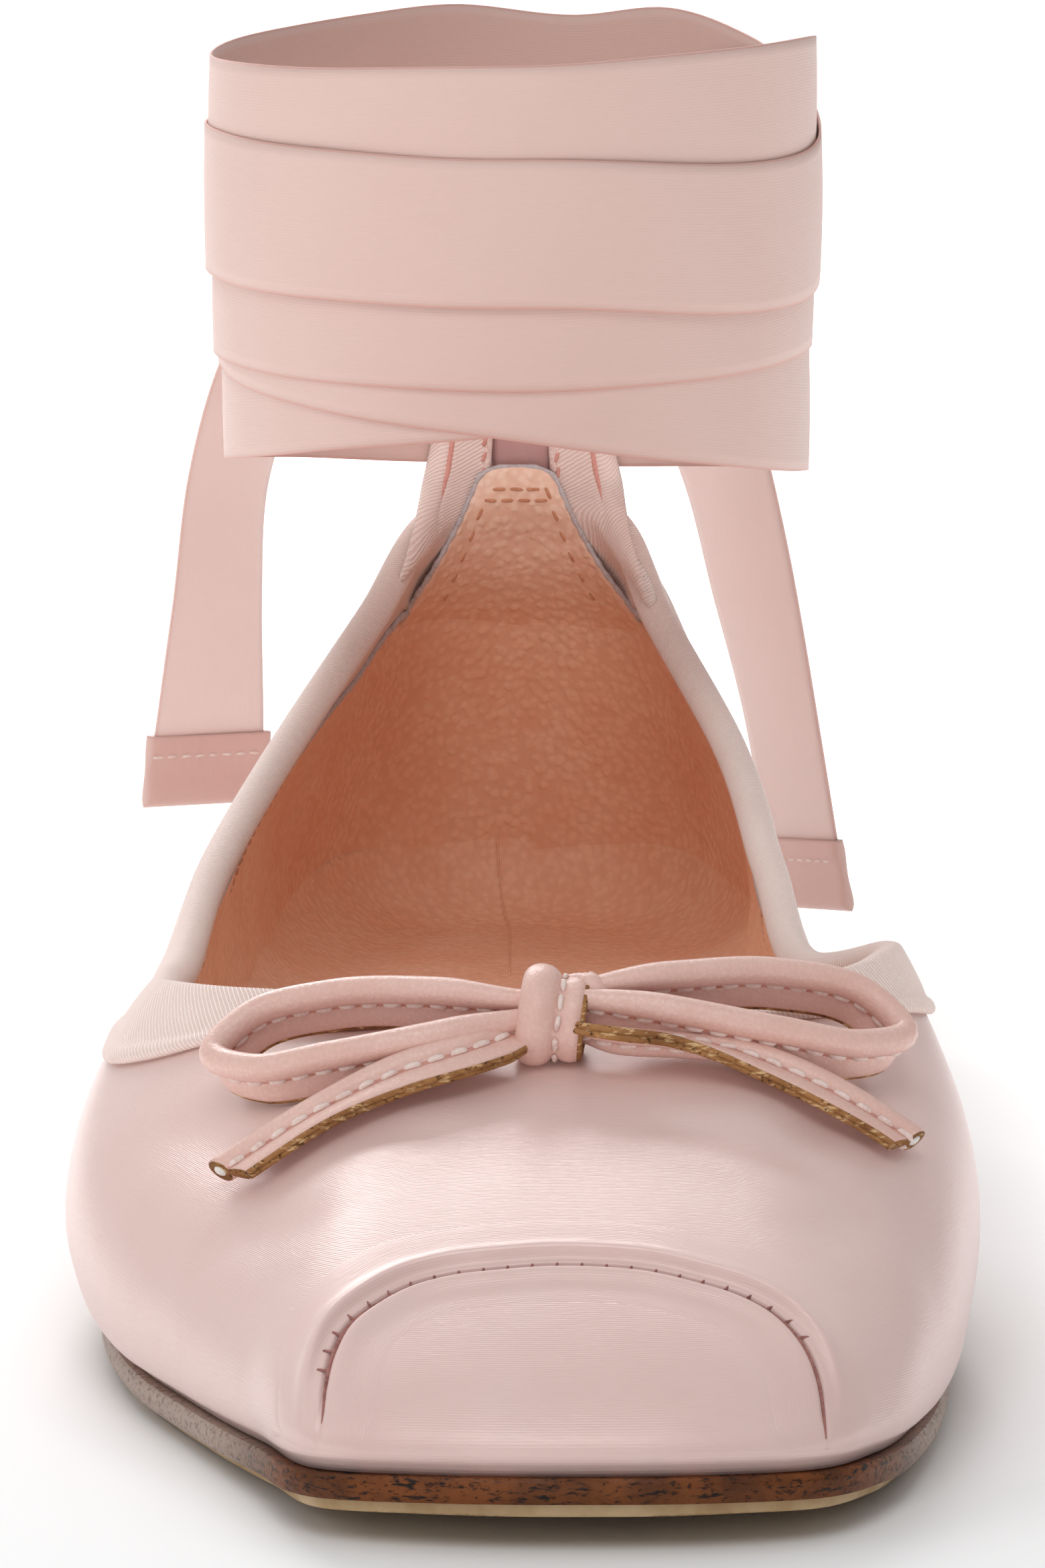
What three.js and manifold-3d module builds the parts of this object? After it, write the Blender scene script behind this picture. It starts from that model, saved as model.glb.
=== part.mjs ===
// Ankle wrap ballet flat for the right foot: satin upper on a thin sole, with a bound collar,
// a toe seam, a leather bow and a satin ribbon that is wound round the ankle.
// Millimetres, +Z up. The toe points to -Y, and the wearer's inner side is +X.
// The origin is on the floor, under the ball of the foot.
import * as THREE from "three";
import { mergeVertices } from "three/addons/utils/BufferGeometryUtils.js";
import Module from "manifold-3d";

const wasm = await Module();
wasm.setup();

// Driving dimensions of the last
const SHOE_LENGTH = 242;
const BALL_WIDTH = 77;
const INSTEP_HEIGHT = 36;
const HEEL_HEIGHT_OF_UPPER = 62;
const TOE_TO_ORIGIN = 72;
const GAP = 0.3;

// Sole: ground line, layers and heel block
const TOE_SPRING = 2.8;
const TOE_SPRING_END = 52;
const ARCH_START = 96;
const HEEL_BREAST = 184;
const HEEL_RISE = 8;
const TREAD_THICKNESS = 1;
const TREAD_INSET = 1.8;
const TREAD_END = 114;
const OUTSOLE_THICKNESS = 2.2;
const OUTSOLE_EDGE = 0.7;
const HEEL_TAPER = 1.6;
const INSOLE_THICKNESS = 1.5;

// Upper: wall, binding and toe seam
const WALL = 1.6;
const BINDING_OUTSIDE = 5.2;
const BINDING_INSIDE = 3.4;
const BINDING_CLOTH = 0.6;
const BINDING_CLEARANCE = 0.45;
const SEAM_WIDTH = 4.4;
const SEAM_HEIGHT = 0.7;
const SEAM_REACH = 0.5;
const SEAM_SQUARENESS = 3.2;

// Ankle ribbon: an oval of turns, a knot behind and two tails
const RIBBON_WIDTH = 15.3;
const RIBBON_CLOTH = 0.7;
const RIBBON_STEP = 0.36;
const ANKLE_HALF_WIDTH = 30.2;
const ANKLE_HALF_DEPTH = 36;
const ANKLE_BACK = 234.6;
const ANKLE_SHIFT = -0.9;
const LOOP_WIDTH = 18;
const LOOP_TAPE = 0.9;
const LOOP_TOP = 82.6;
const LOOP_RADIUS = 2.4;
const LOOP_MIDDLE = 0.7;
const LOOP_LEGS = 64.6;
const LOOP_OUTSIDE_STOPS = [0.78, 0.86, 0.93, 0.985];
const LOOP_INSIDE_STOPS = [0.985, 0.93, 0.88];
const KNOT_SIZE = { wide: 13, deep: 7, high: 15 };
const KNOT_HEIGHT = 97;
const TIP_LENGTH = 7.2;
const TIP_WIDTH = 17;
const TIP_THICKNESS = 1.8;

// Bow of a piped leather strip
const STRIP_WIDTH = 4.6;
const STRIP_THICKNESS = 1.9;
const BOW_KNOT = { wide: 6.6, deep: 5.6, high: 7.6 };
const BOW_AT = { x: 3.1, back: 54.5, lift: 4.2 };

// Facets: steps between two rows of the table, along the sides and round the heel and the toe
const STEPS_BETWEEN_ROWS = { gentle: 3, tight: 5 };
const HEEL_ENDS_AT_ROW = 1;
const TOE_STARTS_AT_ROW = 9;
const STEPS_UP = 8;
const STEPS_ACROSS_SOLE = 3;
const STEPS_ROUND_ANKLE = 36;

// One row for each section of the last, from the heel's middle along the outer side to the toe and
// back along the inner side. foot is the feather line, top is the collar, back is the distance
// behind the toe, bulge and shoulder are how far the wall swells low down and under the collar, and
// vamp is 1 where the wall lies over the toes.
const SECTIONS = [
  { foot: { x: 0, back: 239.2 }, top: { x: 0, back: 235.2, z: 61.6 }, bulge: 4, shoulder: 4.4, vamp: 0 },
  { foot: { x: -15.6, back: 233.6 }, top: { x: -10, back: 230.6, z: 59.2 }, bulge: 4.4, shoulder: 4.6, vamp: 0 },
  { foot: { x: -24.6, back: 215 }, top: { x: -16.8, back: 211, z: 51 }, bulge: 5.4, shoulder: 5, vamp: 0 },
  { foot: { x: -26.4, back: 188 }, top: { x: -25, back: 181, z: 41.8 }, bulge: 6.4, shoulder: 5, vamp: 0 },
  { foot: { x: -29, back: 154 }, top: { x: -31.4, back: 144, z: 34.6 }, bulge: 6, shoulder: 2.6, vamp: 0 },
  { foot: { x: -35, back: 116 }, top: { x: -33.2, back: 112, z: 30.6 }, bulge: 7.6, shoulder: 4.4, vamp: 0 },
  { foot: { x: -38.6, back: 82 }, top: { x: -33.8, back: 92, z: 31.6 }, bulge: 8.6, shoulder: 6.8, vamp: 0.04 },
  { foot: { x: -35, back: 54 }, top: { x: -32.4, back: 80.6, z: 33 }, bulge: 7.4, shoulder: 6, vamp: 0.28 },
  { foot: { x: -28.8, back: 35.5 }, top: { x: -26, back: 72, z: 34 }, bulge: 5, shoulder: 3.6, vamp: 0.6 },
  { foot: { x: -22.8, back: 19 }, top: { x: -17.4, back: 66.8, z: 34.6 }, bulge: 3.4, shoulder: 1.4, vamp: 0.85 },
  { foot: { x: -16.8, back: 4.4 }, top: { x: -9.2, back: 64.6, z: 35 }, bulge: 2, shoulder: 0.2, vamp: 0.97 },
  { foot: { x: -7, back: 1.2 }, top: { x: -3, back: 64.1, z: 35.2 }, bulge: 1.2, shoulder: 0, vamp: 1 },
  { foot: { x: 4.8, back: 0.3 }, top: { x: 3.6, back: 64, z: 35.3 }, bulge: 1, shoulder: 0, vamp: 1 },
  { foot: { x: 16, back: 1.2 }, top: { x: 10.4, back: 64.2, z: 35.3 }, bulge: 1.2, shoulder: 0, vamp: 1 },
  { foot: { x: 25.2, back: 4.6 }, top: { x: 17.2, back: 65.2, z: 35.3 }, bulge: 2, shoulder: 0.2, vamp: 0.97 },
  { foot: { x: 30.8, back: 14 }, top: { x: 23.4, back: 67.6, z: 35.4 }, bulge: 3.4, shoulder: 1.4, vamp: 0.85 },
  { foot: { x: 34.6, back: 28 }, top: { x: 29.4, back: 72.2, z: 35.8 }, bulge: 5, shoulder: 3.2, vamp: 0.6 },
  { foot: { x: 37.2, back: 46 }, top: { x: 33.6, back: 79, z: 36.4 }, bulge: 6.4, shoulder: 4.6, vamp: 0.28 },
  { foot: { x: 38.4, back: 70 }, top: { x: 34.2, back: 88.4, z: 35.4 }, bulge: 7.8, shoulder: 5.2, vamp: 0.04 },
  { foot: { x: 35, back: 102 }, top: { x: 28, back: 108, z: 31 }, bulge: 6, shoulder: 4.6, vamp: 0 },
  { foot: { x: 24.4, back: 146 }, top: { x: 25.4, back: 142, z: 34.6 }, bulge: 4.6, shoulder: 1.4, vamp: 0 },
  { foot: { x: 22.8, back: 186 }, top: { x: 22, back: 181, z: 41.8 }, bulge: 5, shoulder: 3.6, vamp: 0 },
  { foot: { x: 23.8, back: 215 }, top: { x: 15.2, back: 211, z: 51 }, bulge: 5.2, shoulder: 5, vamp: 0 },
  { foot: { x: 15.4, back: 233.6 }, top: { x: 10, back: 230.6, z: 59.2 }, bulge: 4.4, shoulder: 4.6, vamp: 0 },
];
const TOE_ROW = 12;
const TOE_CORNER_ROWS = [10, 14];

// The sizes that the table was drawn at, so that the driving dimensions scale it
const DRAWN = { length: 242, ballWidth: 77, instep: 36, heel: 62 };

// How the wall leaves the feather line and meets the collar, at the sides and over the toes
const SIDE_WALL = { rise: 0.26, lean: 0, drop: 0.2 };
const VAMP_WALL = { rise: 0.3, lean: 0.6, drop: 0.42 };

// One row for each turn of the ribbon: the height of its lower edge at four points, and its layers
const RIBBON_TURNS = [
  { name: "outer_start", back: 64.2, right: 76, front: 73.2, left: 68.4, layers: 1 },
  { name: "inner_start", back: 64.2, right: 67.8, front: 75, left: 80.4, layers: 2 },
  { name: "low", back: 84, right: 81.6, front: 80.2, left: 80.4, layers: 3 },
  { name: "top", back: 99.4, right: 98.6, front: 98, left: 96.8, layers: 3 },
  { name: "outermost", back: 90, right: 89.2, front: 88.6, left: 89.6, layers: 4 },
];

// Tails of the ribbon: where the middle of the ribbon runs, and how far it is turned from facing back
const TAIL_PATHS = {
  outer: [
    { x: -7, back: 241.8, z: 92, turn: 0 },
    { x: -19.6, back: 244.6, z: 85.6, turn: 18 },
    { x: -27.6, back: 246, z: 76, turn: 46 },
    { x: -32.6, back: 247, z: 62, turn: 54 },
    { x: -34.2, back: 247.4, z: 47, turn: 52 },
    { x: -35.4, back: 247.6, z: 31.6, turn: 38 },
  ],
  inner: [
    { x: 6, back: 241.6, z: 92, turn: 0 },
    { x: 15.4, back: 245.6, z: 80, turn: -20 },
    { x: 22, back: 247.4, z: 64, turn: -46 },
    { x: 26.4, back: 248, z: 46, turn: -54 },
    { x: 29.4, back: 248, z: 32, turn: -58 },
    { x: 31.6, back: 247.6, z: 19.6, turn: -60 },
  ],
};

// Loops and tails of the bow, on the vamp: lift is the height of the strip's middle over the satin
const BOW_LOOPS = {
  outer: [
    { x: -0.9, back: 53.6, lift: 3.9 },
    { x: -8, back: 52.6, lift: 3.6 },
    { x: -16, back: 53.2, lift: 3.9 },
    { x: -22.4, back: 55.6, lift: 4.4 },
    { x: -25.4, back: 59.2, lift: 4.6 },
    { x: -22.6, back: 62.4, lift: 4.4 },
    { x: -16, back: 61.6, lift: 4.2 },
    { x: -8, back: 58.6, lift: 4.6 },
    { x: -1, back: 56.6, lift: 5 },
  ],
  inner: [
    { x: 7.1, back: 53.6, lift: 3.9 },
    { x: 14, back: 53, lift: 3.6 },
    { x: 22, back: 54, lift: 3.7 },
    { x: 28.6, back: 57, lift: 4 },
    { x: 31.8, back: 61, lift: 4.2 },
    { x: 29, back: 64, lift: 4.2 },
    { x: 22, back: 62.4, lift: 4.2 },
    { x: 14, back: 58.8, lift: 4.6 },
    { x: 7.2, back: 56.6, lift: 5 },
  ],
};
const BOW_TAILS = {
  outer: [
    { x: 0.4, back: 48.8, lift: 2 },
    { x: -7, back: 47.6, lift: 1.9 },
    { x: -15, back: 46, lift: 1.8 },
    { x: -24, back: 43.8, lift: 1.8 },
  ],
  inner: [
    { x: 5.8, back: 48.8, lift: 2 },
    { x: 14, back: 49.2, lift: 1.9 },
    { x: 22, back: 48.8, lift: 1.8 },
    { x: 32.6, back: 46.6, lift: 1.8 },
  ],
};

const COLOURS = {
  satin: new THREE.MeshStandardMaterial({ color: 0xe4c9c2, roughness: 0.42 }),
  ribbon: new THREE.MeshStandardMaterial({ color: 0xdcbdb5, roughness: 0.5 }),
  grosgrain: new THREE.MeshStandardMaterial({ color: 0xe8d2c9, roughness: 0.7 }),
  bowLeather: new THREE.MeshStandardMaterial({ color: 0xdeb3a6, roughness: 0.45 }),
  lining: new THREE.MeshStandardMaterial({ color: 0xb57a5c, roughness: 0.65 }),
  soleEdge: new THREE.MeshStandardMaterial({ color: 0x6b4228, roughness: 0.5 }),
  tread: new THREE.MeshStandardMaterial({ color: 0xd8b98a, roughness: 0.6 }),
};

const UP = new THREE.Vector3(0, 0, 1);
const mix = THREE.MathUtils.lerp;

// Distance behind the toe to the part's own Y
const yOf = (back) => back - TOE_TO_ORIGIN;

// The section table at the driving sizes, with one flat record for each row
const lastRows = SECTIONS.map(({ foot, top, bulge, shoulder, vamp }) => ({
  footX: (foot.x * BALL_WIDTH) / DRAWN.ballWidth,
  footBack: (foot.back * SHOE_LENGTH) / DRAWN.length,
  topX: (top.x * BALL_WIDTH) / DRAWN.ballWidth,
  topBack: (top.back * SHOE_LENGTH) / DRAWN.length,
  topZ: collarHeight(top.z),
  bulge,
  shoulder,
  vamp,
}));

// The collar's drawn height, scaled by the instep below it and by the heel above it
function collarHeight(z) {
  if (z <= DRAWN.instep) return (z * INSTEP_HEIGHT) / DRAWN.instep;
  const share = (z - DRAWN.instep) / (DRAWN.heel - DRAWN.instep);
  return mix(INSTEP_HEIGHT, HEEL_HEIGHT_OF_UPPER, share);
}

// Where each row lies along the feather line, from 0 to the line's whole length
const knots = [0];
lastRows.forEach((row, i) => {
  const next = lastRows[(i + 1) % lastRows.length];
  knots.push(knots[i] + Math.hypot(next.footX - row.footX, next.footBack - row.footBack));
});
const FEATHER_LENGTH = knots[lastRows.length];

// Places round the feather line where the upper and the sole have an edge, closer where it turns
const stations = lastRows.flatMap((_, i) => {
  const fromHeel = Math.min(i, lastRows.length - 1 - i);
  const tight = fromHeel < HEEL_ENDS_AT_ROW || fromHeel >= TOE_STARTS_AT_ROW;
  const steps = tight ? STEPS_BETWEEN_ROWS.tight : STEPS_BETWEEN_ROWS.gentle;
  return Array.from({ length: steps }, (_, k) => mix(knots[i], knots[i + 1], k / steps));
});

// A smooth closed curve through one column of the table
function columnAt(key, along) {
  const n = lastRows.length;
  const s = THREE.MathUtils.euclideanModulo(along, FEATHER_LENGTH);
  let i = 0;
  while (i < n - 1 && knots[i + 1] <= s) i += 1;
  const value = (k) => lastRows[(k + n) % n][key];
  const step = (k) => knots[((k + n) % n) + 1] - knots[(k + n) % n];
  const slope = (k) => {
    const before = (value(k) - value(k - 1)) / step(k - 1);
    const after = (value(k + 1) - value(k)) / step(k);
    return (before * step(k) + after * step(k - 1)) / (step(k) + step(k - 1));
  };
  const h = step(i);
  const t = (s - knots[i]) / h;
  const a = value(i);
  const b = value(i + 1);
  const rest = 1 - t;
  return (
    a * (1 + 2 * t) * rest * rest +
    slope(i) * h * t * rest * rest +
    b * t * t * (3 - 2 * t) -
    slope(i + 1) * h * t * t * rest
  );
}

// Outward direction of the feather line, level with the floor
function outward(along) {
  const span = 0.6;
  const dx = columnAt("footX", along + span) - columnAt("footX", along - span);
  const dy = columnAt("footBack", along + span) - columnAt("footBack", along - span);
  return new THREE.Vector3(dy, -dx, 0).normalize();
}

// Underside of the sole: toe spring, a flat forefoot, the arch and a level heel seat
function groundLine(back) {
  if (back < TOE_SPRING_END) return TOE_SPRING * (1 - back / TOE_SPRING_END) ** 2;
  return HEEL_RISE * THREE.MathUtils.smootherstep(back, ARCH_START, HEEL_BREAST);
}
const outsoleBottom = (back) => groundLine(back) + TREAD_THICKNESS + GAP;
const outsoleTop = (back) => outsoleBottom(back) + OUTSOLE_THICKNESS;
const featherHeight = (back) => outsoleTop(back) + GAP;

// The outside of the upper: along runs round the shoe, up runs from 0 at the sole to 1 at the collar
function wallPoint(along, up) {
  const row = (key) => columnAt(key, along);
  const vamp = THREE.MathUtils.clamp(row("vamp"), 0, 1);
  const out = outward(along);
  const foot = new THREE.Vector3(row("footX"), yOf(row("footBack")), featherHeight(row("footBack")));
  const top = new THREE.Vector3(row("topX"), yOf(row("topBack")), row("topZ"));
  const height = top.z - foot.z;
  const shape = (key) => mix(SIDE_WALL[key], VAMP_WALL[key], vamp);
  const low = foot.clone().addScaledVector(out, row("bulge")).addScaledVector(UP, shape("rise") * height);
  const high = top.clone().lerp(new THREE.Vector3(foot.x, foot.y, top.z), shape("lean"));
  high.addScaledVector(out, row("shoulder")).addScaledVector(UP, -shape("drop") * height);
  return new THREE.CubicBezierCurve3(foot, low, high, top).getPoint(up);
}

// Outward normal of the upper
function wallNormal(along, up) {
  const span = 0.4;
  const rise = 0.01;
  const low = Math.max(0, up - rise);
  const high = Math.min(1, up + rise);
  const round = wallPoint(along + span, up).sub(wallPoint(along - span, up));
  const over = wallPoint(along, high).sub(wallPoint(along, low));
  return round.cross(over).normalize();
}

// A point of the upper moved out by lift, or in where lift is negative
const wallOffset = (along, up, lift) =>
  wallPoint(along, up).addScaledVector(wallNormal(along, up), lift);

// The place on the vamp over a plan position, by Newton steps from the middle of the vamp
function vampAt(x, back) {
  let along = knots[TOE_ROW];
  let up = 0.7;
  const nudge = { along: 0.5, up: 0.005 };
  for (let i = 0; i < 40; i += 1) {
    const at = wallPoint(along, up);
    const byAlong = wallPoint(along + nudge.along, up).sub(at).divideScalar(nudge.along);
    const byUp = wallPoint(along, up + nudge.up).sub(at).divideScalar(nudge.up);
    const missX = x - at.x;
    const missY = yOf(back) - at.y;
    const det = byAlong.x * byUp.y - byUp.x * byAlong.y;
    along += THREE.MathUtils.clamp((missX * byUp.y - byUp.x * missY) / det, -6, 6);
    up += THREE.MathUtils.clamp((byAlong.x * missY - missX * byAlong.y) / det, -0.08, 0.08);
    up = THREE.MathUtils.clamp(up, 0.02, 0.99);
  }
  return { point: wallPoint(along, up), normal: wallNormal(along, up) };
}

// Joins rings of points into a closed skin: a ring of rings, or a bar with flat ends
function skin(rings, closed) {
  const n = rings[0].length;
  const points = rings.flat();
  const faces = [];
  const last = closed ? rings.length : rings.length - 1;
  for (let i = 0; i < last; i += 1) {
    const next = (i + 1) % rings.length;
    for (let j = 0; j < n; j += 1) {
      const k = (j + 1) % n;
      faces.push([i * n + j, next * n + j, next * n + k], [i * n + j, next * n + k, i * n + k]);
    }
  }
  if (!closed) {
    const end = (rings.length - 1) * n;
    const cap = (a, b, c) => faces.push([a, b, c], [end + a, end + c, end + b]);
    for (let [low, high] = [0, n - 1]; high - low > 1; low += 1, high -= 1) {
      cap(low, low + 1, high);
      if (high - low > 2) cap(low + 1, high - 1, high);
    }
  }
  return facing(points, faces);
}

// A geometry of the points and faces, turned so that its volume is positive
function facing(points, faces) {
  const volume = faces.reduce(
    (sum, [a, b, c]) => sum + points[a].dot(points[b].clone().cross(points[c])),
    0,
  );
  const order = volume < 0 ? faces.map(([a, b, c]) => [a, c, b]) : faces;
  const geometry = new THREE.BufferGeometry().setFromPoints(points);
  return geometry.setIndex(order.flat());
}

// A geometry as a solid to cut or join, and a solid as a geometry
function solidOf(geometry) {
  const bare = new THREE.BufferGeometry().setAttribute("position", geometry.getAttribute("position"));
  const merged = mergeVertices(bare.setIndex(geometry.index), 1e-3);
  const vertProperties = merged.getAttribute("position").array;
  const triVerts = new Uint32Array(merged.index.array);
  return new wasm.Manifold(new wasm.Mesh({ numProp: 3, vertProperties, triVerts }));
}
function geometryOf(solid) {
  const mesh = solid.getMesh();
  const position = new THREE.BufferAttribute(new Float32Array(mesh.vertProperties), 3);
  const index = new THREE.BufferAttribute(mesh.triVerts, 1);
  return new THREE.BufferGeometry().setAttribute("position", position).setIndex(index);
}

// A block between two distances behind the toe, wide and high enough to cut the whole shoe
function slab(fromBack, toBack) {
  const size = 400;
  const box = new THREE.BoxGeometry(size, toBack - fromBack, size);
  return solidOf(box.translate(0, yOf((fromBack + toBack) / 2), 0));
}

// A layer of the sole inside the feather line grown by edge, between two height functions
function plate(edge, bottomAt, topAt) {
  const half = stations.length / 2;
  const rim = (along) => {
    const at = new THREE.Vector3(columnAt("footX", along), columnAt("footBack", along), 0);
    return at.addScaledVector(outward(along), edge);
  };
  const outerSide = [];
  const innerSide = [];
  for (let i = 0; i <= half; i += 1) {
    outerSide.push(rim(stations[i]));
    innerSide.push(rim(stations[(stations.length - i) % stations.length]));
  }
  const points = [];
  const levels = [bottomAt, topAt].map((heightAt) =>
    outerSide.map((from, i) => {
      const steps = i === 0 || i === half ? 0 : STEPS_ACROSS_SOLE;
      return Array.from({ length: steps + 1 }, (_, j) => {
        const at = from.clone().lerp(innerSide[i], steps ? j / steps : 0);
        points.push(new THREE.Vector3(at.x, yOf(at.y), heightAt(at.y)));
        return points.length - 1;
      });
    }),
  );
  const faces = [];
  levels.forEach((rows, level) => {
    const add = (a, b, c) => faces.push(level ? [a, b, c] : [a, c, b]);
    for (let i = 0; i < half; i += 1) {
      for (let j = 0; j < STEPS_ACROSS_SOLE; j += 1) {
        const pick = (row, k) => row[Math.min(k, row.length - 1)];
        const [a, b] = [pick(rows[i], j), pick(rows[i], j + 1)];
        const [c, d] = [pick(rows[i + 1], j + 1), pick(rows[i + 1], j)];
        if (a !== b) add(a, b, c);
        if (c !== d) add(a, c, d);
      }
    }
  });
  const rimOf = (rows) => [
    ...rows.map((row) => row[0]),
    ...rows.slice(1, -1).reverse().map((row) => row[row.length - 1]),
  ];
  const [low, high] = levels.map(rimOf);
  low.forEach((a, i) => {
    const k = (i + 1) % low.length;
    faces.push([a, high[i], high[k]], [a, high[k], low[k]]);
  });
  return facing(points, faces);
}

function outsole() {
  return plate(OUTSOLE_EDGE, outsoleBottom, outsoleTop);
}

function tread() {
  const whole = plate(OUTSOLE_EDGE - TREAD_INSET, groundLine, (back) => groundLine(back) + TREAD_THICKNESS);
  return geometryOf(solidOf(whole).intersect(slab(-SHOE_LENGTH, TREAD_END)));
}

function heel() {
  const seat = plate(OUTSOLE_EDGE, () => 0, () => HEEL_RISE + TREAD_THICKNESS);
  const position = seat.getAttribute("position");
  const middle = yOf(HEEL_BREAST + (SHOE_LENGTH - HEEL_BREAST) / 2);
  const half = (SHOE_LENGTH - HEEL_BREAST) / 2;
  for (let i = 0; i < position.count; i += 1) {
    if (position.getZ(i) > 0) continue;
    const shrink = 1 - HEEL_TAPER / half;
    position.setX(i, position.getX(i) * shrink);
    position.setY(i, middle + (position.getY(i) - middle) * shrink);
  }
  return geometryOf(solidOf(seat).intersect(slab(HEEL_BREAST, 2 * SHOE_LENGTH)));
}

function insole() {
  const inset = -(WALL + 2 * GAP);
  return plate(inset, featherHeight, (back) => featherHeight(back) + INSOLE_THICKNESS);
}

// The upper's wall: outside from the sole to the collar, then inside back down
function upper() {
  const rings = stations.map((along) => {
    const ups = Array.from({ length: STEPS_UP + 1 }, (_, j) => j / STEPS_UP);
    const outside = ups.map((up) => wallPoint(along, up));
    const inside = ups.toReversed().map((up) => wallOffset(along, up, -WALL));
    return [...outside, ...inside];
  });
  return skin(rings, true);
}

// Grosgrain tape folded over the collar's edge
function collarBinding() {
  const rings = stations.map((along) => {
    const edge = wallPoint(along, 1);
    const normal = wallNormal(along, 1);
    const near = BINDING_CLEARANCE;
    const far = near + BINDING_CLOTH;
    const share = 0.02;
    const over = wallPoint(along, 1).sub(wallPoint(along, 1 - share));
    const length = over.length() / share;
    over.normalize();
    const leg = (down, lift) => wallOffset(along, 1 - down / length, lift);
    const crown = (lift, rise) =>
      edge.clone().addScaledVector(normal, lift).addScaledVector(over, rise);
    return [
      leg(BINDING_OUTSIDE, near),
      leg(BINDING_OUTSIDE, far),
      leg(BINDING_OUTSIDE / 2, far),
      crown(far, 0),
      crown(0, far),
      crown(-WALL, far),
      crown(-WALL - far, 0),
      leg(BINDING_INSIDE, -WALL - far),
      leg(BINDING_INSIDE, -WALL - near),
      crown(-WALL - near, 0),
      crown(-WALL - near / 2, near),
      crown(near / 2, near),
      crown(near, 0),
      leg(BINDING_OUTSIDE / 2, near),
    ];
  });
  return skin(rings, true);
}

// The raised seam of the toe cap: an arch on the upper from one toe corner to the other
function toeSeam() {
  const [outerCorner, innerCorner] = TOE_CORNER_ROWS.map((row) => knots[row]);
  const middle = (outerCorner + innerCorner) / 2;
  const half = (innerCorner - outerCorner) / 2;
  const steps = 40;
  const lowest = 0.12;
  const place = (turn) => {
    const power = 2 / SEAM_SQUARENESS;
    const along = middle - half * Math.sign(Math.cos(turn)) * Math.abs(Math.cos(turn)) ** power;
    return { along, up: SEAM_REACH * Math.sin(turn) ** power };
  };
  const rings = Array.from({ length: steps + 1 }, (_, i) => {
    const turn = mix(lowest, Math.PI - lowest, i / steps);
    const { along, up } = place(turn);
    const before = place(turn - 0.02);
    const after = place(turn + 0.02);
    const normal = wallNormal(along, up);
    const run = wallPoint(after.along, after.up).sub(wallPoint(before.along, before.up)).normalize();
    const across = normal.clone().cross(run).normalize();
    const at = (side, lift) =>
      wallPoint(along, up).addScaledVector(across, side * SEAM_WIDTH).addScaledVector(normal, lift);
    const top = GAP + SEAM_HEIGHT;
    return [at(-0.5, GAP), at(-0.42, top * 0.8), at(0.1, top), at(0.5, GAP + 0.25), at(0.5, GAP)];
  });
  return skin(rings, false);
}

// A flat bar along a list of stations, each with its middle, the way of its width and of its thickness
function bar(stations, width, thickness) {
  const rings = stations.map(({ at, wide, thin }) =>
    [
      [-1, -1],
      [1, -1],
      [1, 1],
      [-1, 1],
    ].map(([w, t]) =>
      at
        .clone()
        .addScaledVector(wide, (w * width) / 2)
        .addScaledVector(thin, (t * thickness) / 2),
    ),
  );
  return skin(rings, false);
}

// Where the collar behind the heel is this far to the side
function collarAlong(side) {
  let [low, high] = [-knots[2], knots[2]];
  for (let i = 0; i < 40; i += 1) {
    const middle = (low + high) / 2;
    if (columnAt("topX", middle) > side) low = middle;
    else high = middle;
  }
  return low;
}

// Tape over the heel's edge that the ribbon runs through: up outside, over the ribbon, down inside
function heelLoop() {
  const lift = BINDING_CLEARANCE + BINDING_CLOTH + GAP + LOOP_TAPE / 2;
  const acrossSteps = 6;
  const archSteps = 6;
  const lines = Array.from({ length: acrossSteps + 1 }, (_, j) => {
    const side = (j / acrossSteps - 0.5) * LOOP_WIDTH;
    const along = collarAlong(side);
    const turn = Math.asin((side - ANKLE_SHIFT) / ANKLE_HALF_WIDTH);
    const outside = LOOP_OUTSIDE_STOPS.map((up) => wallOffset(along, up, lift));
    const inside = LOOP_INSIDE_STOPS.map((up) => wallOffset(along, up, -WALL - lift - 3 * GAP));
    const arch = Array.from({ length: archSteps + 1 }, (_, i) => {
      const bend = (Math.PI * i) / archSteps;
      const grow = LOOP_MIDDLE + LOOP_RADIUS * Math.cos(bend);
      return anklePoint(turn, grow, LOOP_TOP + LOOP_RADIUS * (Math.sin(bend) - 1));
    });
    const behind = anklePoint(turn, LOOP_MIDDLE + LOOP_RADIUS, LOOP_LEGS);
    const before = anklePoint(turn, LOOP_MIDDLE - LOOP_RADIUS, LOOP_LEGS);
    return [...outside, behind, ...arch, before, ...inside];
  });
  const at = (i, j) => lines[THREE.MathUtils.clamp(j, 0, acrossSteps)][THREE.MathUtils.clamp(i, 0, lines[0].length - 1)];
  const face = (i, j, lift) => {
    const run = at(i + 1, j).clone().sub(at(i - 1, j));
    const wide = at(i, j + 1).clone().sub(at(i, j - 1));
    return at(i, j).clone().addScaledVector(run.cross(wide).normalize(), lift);
  };
  const rings = lines[0].map((_, i) => {
    const js = lines.map((_, j) => j);
    return [
      ...js.map((j) => face(i, j, LOOP_TAPE / 2)),
      ...js.toReversed().map((j) => face(i, j, -LOOP_TAPE / 2)),
    ];
  });
  return skin(rings, false);
}

// A point of the ankle's oval: turn 0 is behind, a quarter turn is the inner side
function anklePoint(turn, grow, z) {
  return new THREE.Vector3(
    ANKLE_SHIFT + (ANKLE_HALF_WIDTH + grow) * Math.sin(turn),
    yOf(ANKLE_BACK - ANKLE_HALF_DEPTH) + (ANKLE_HALF_DEPTH + grow) * Math.cos(turn),
    z,
  );
}

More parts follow.
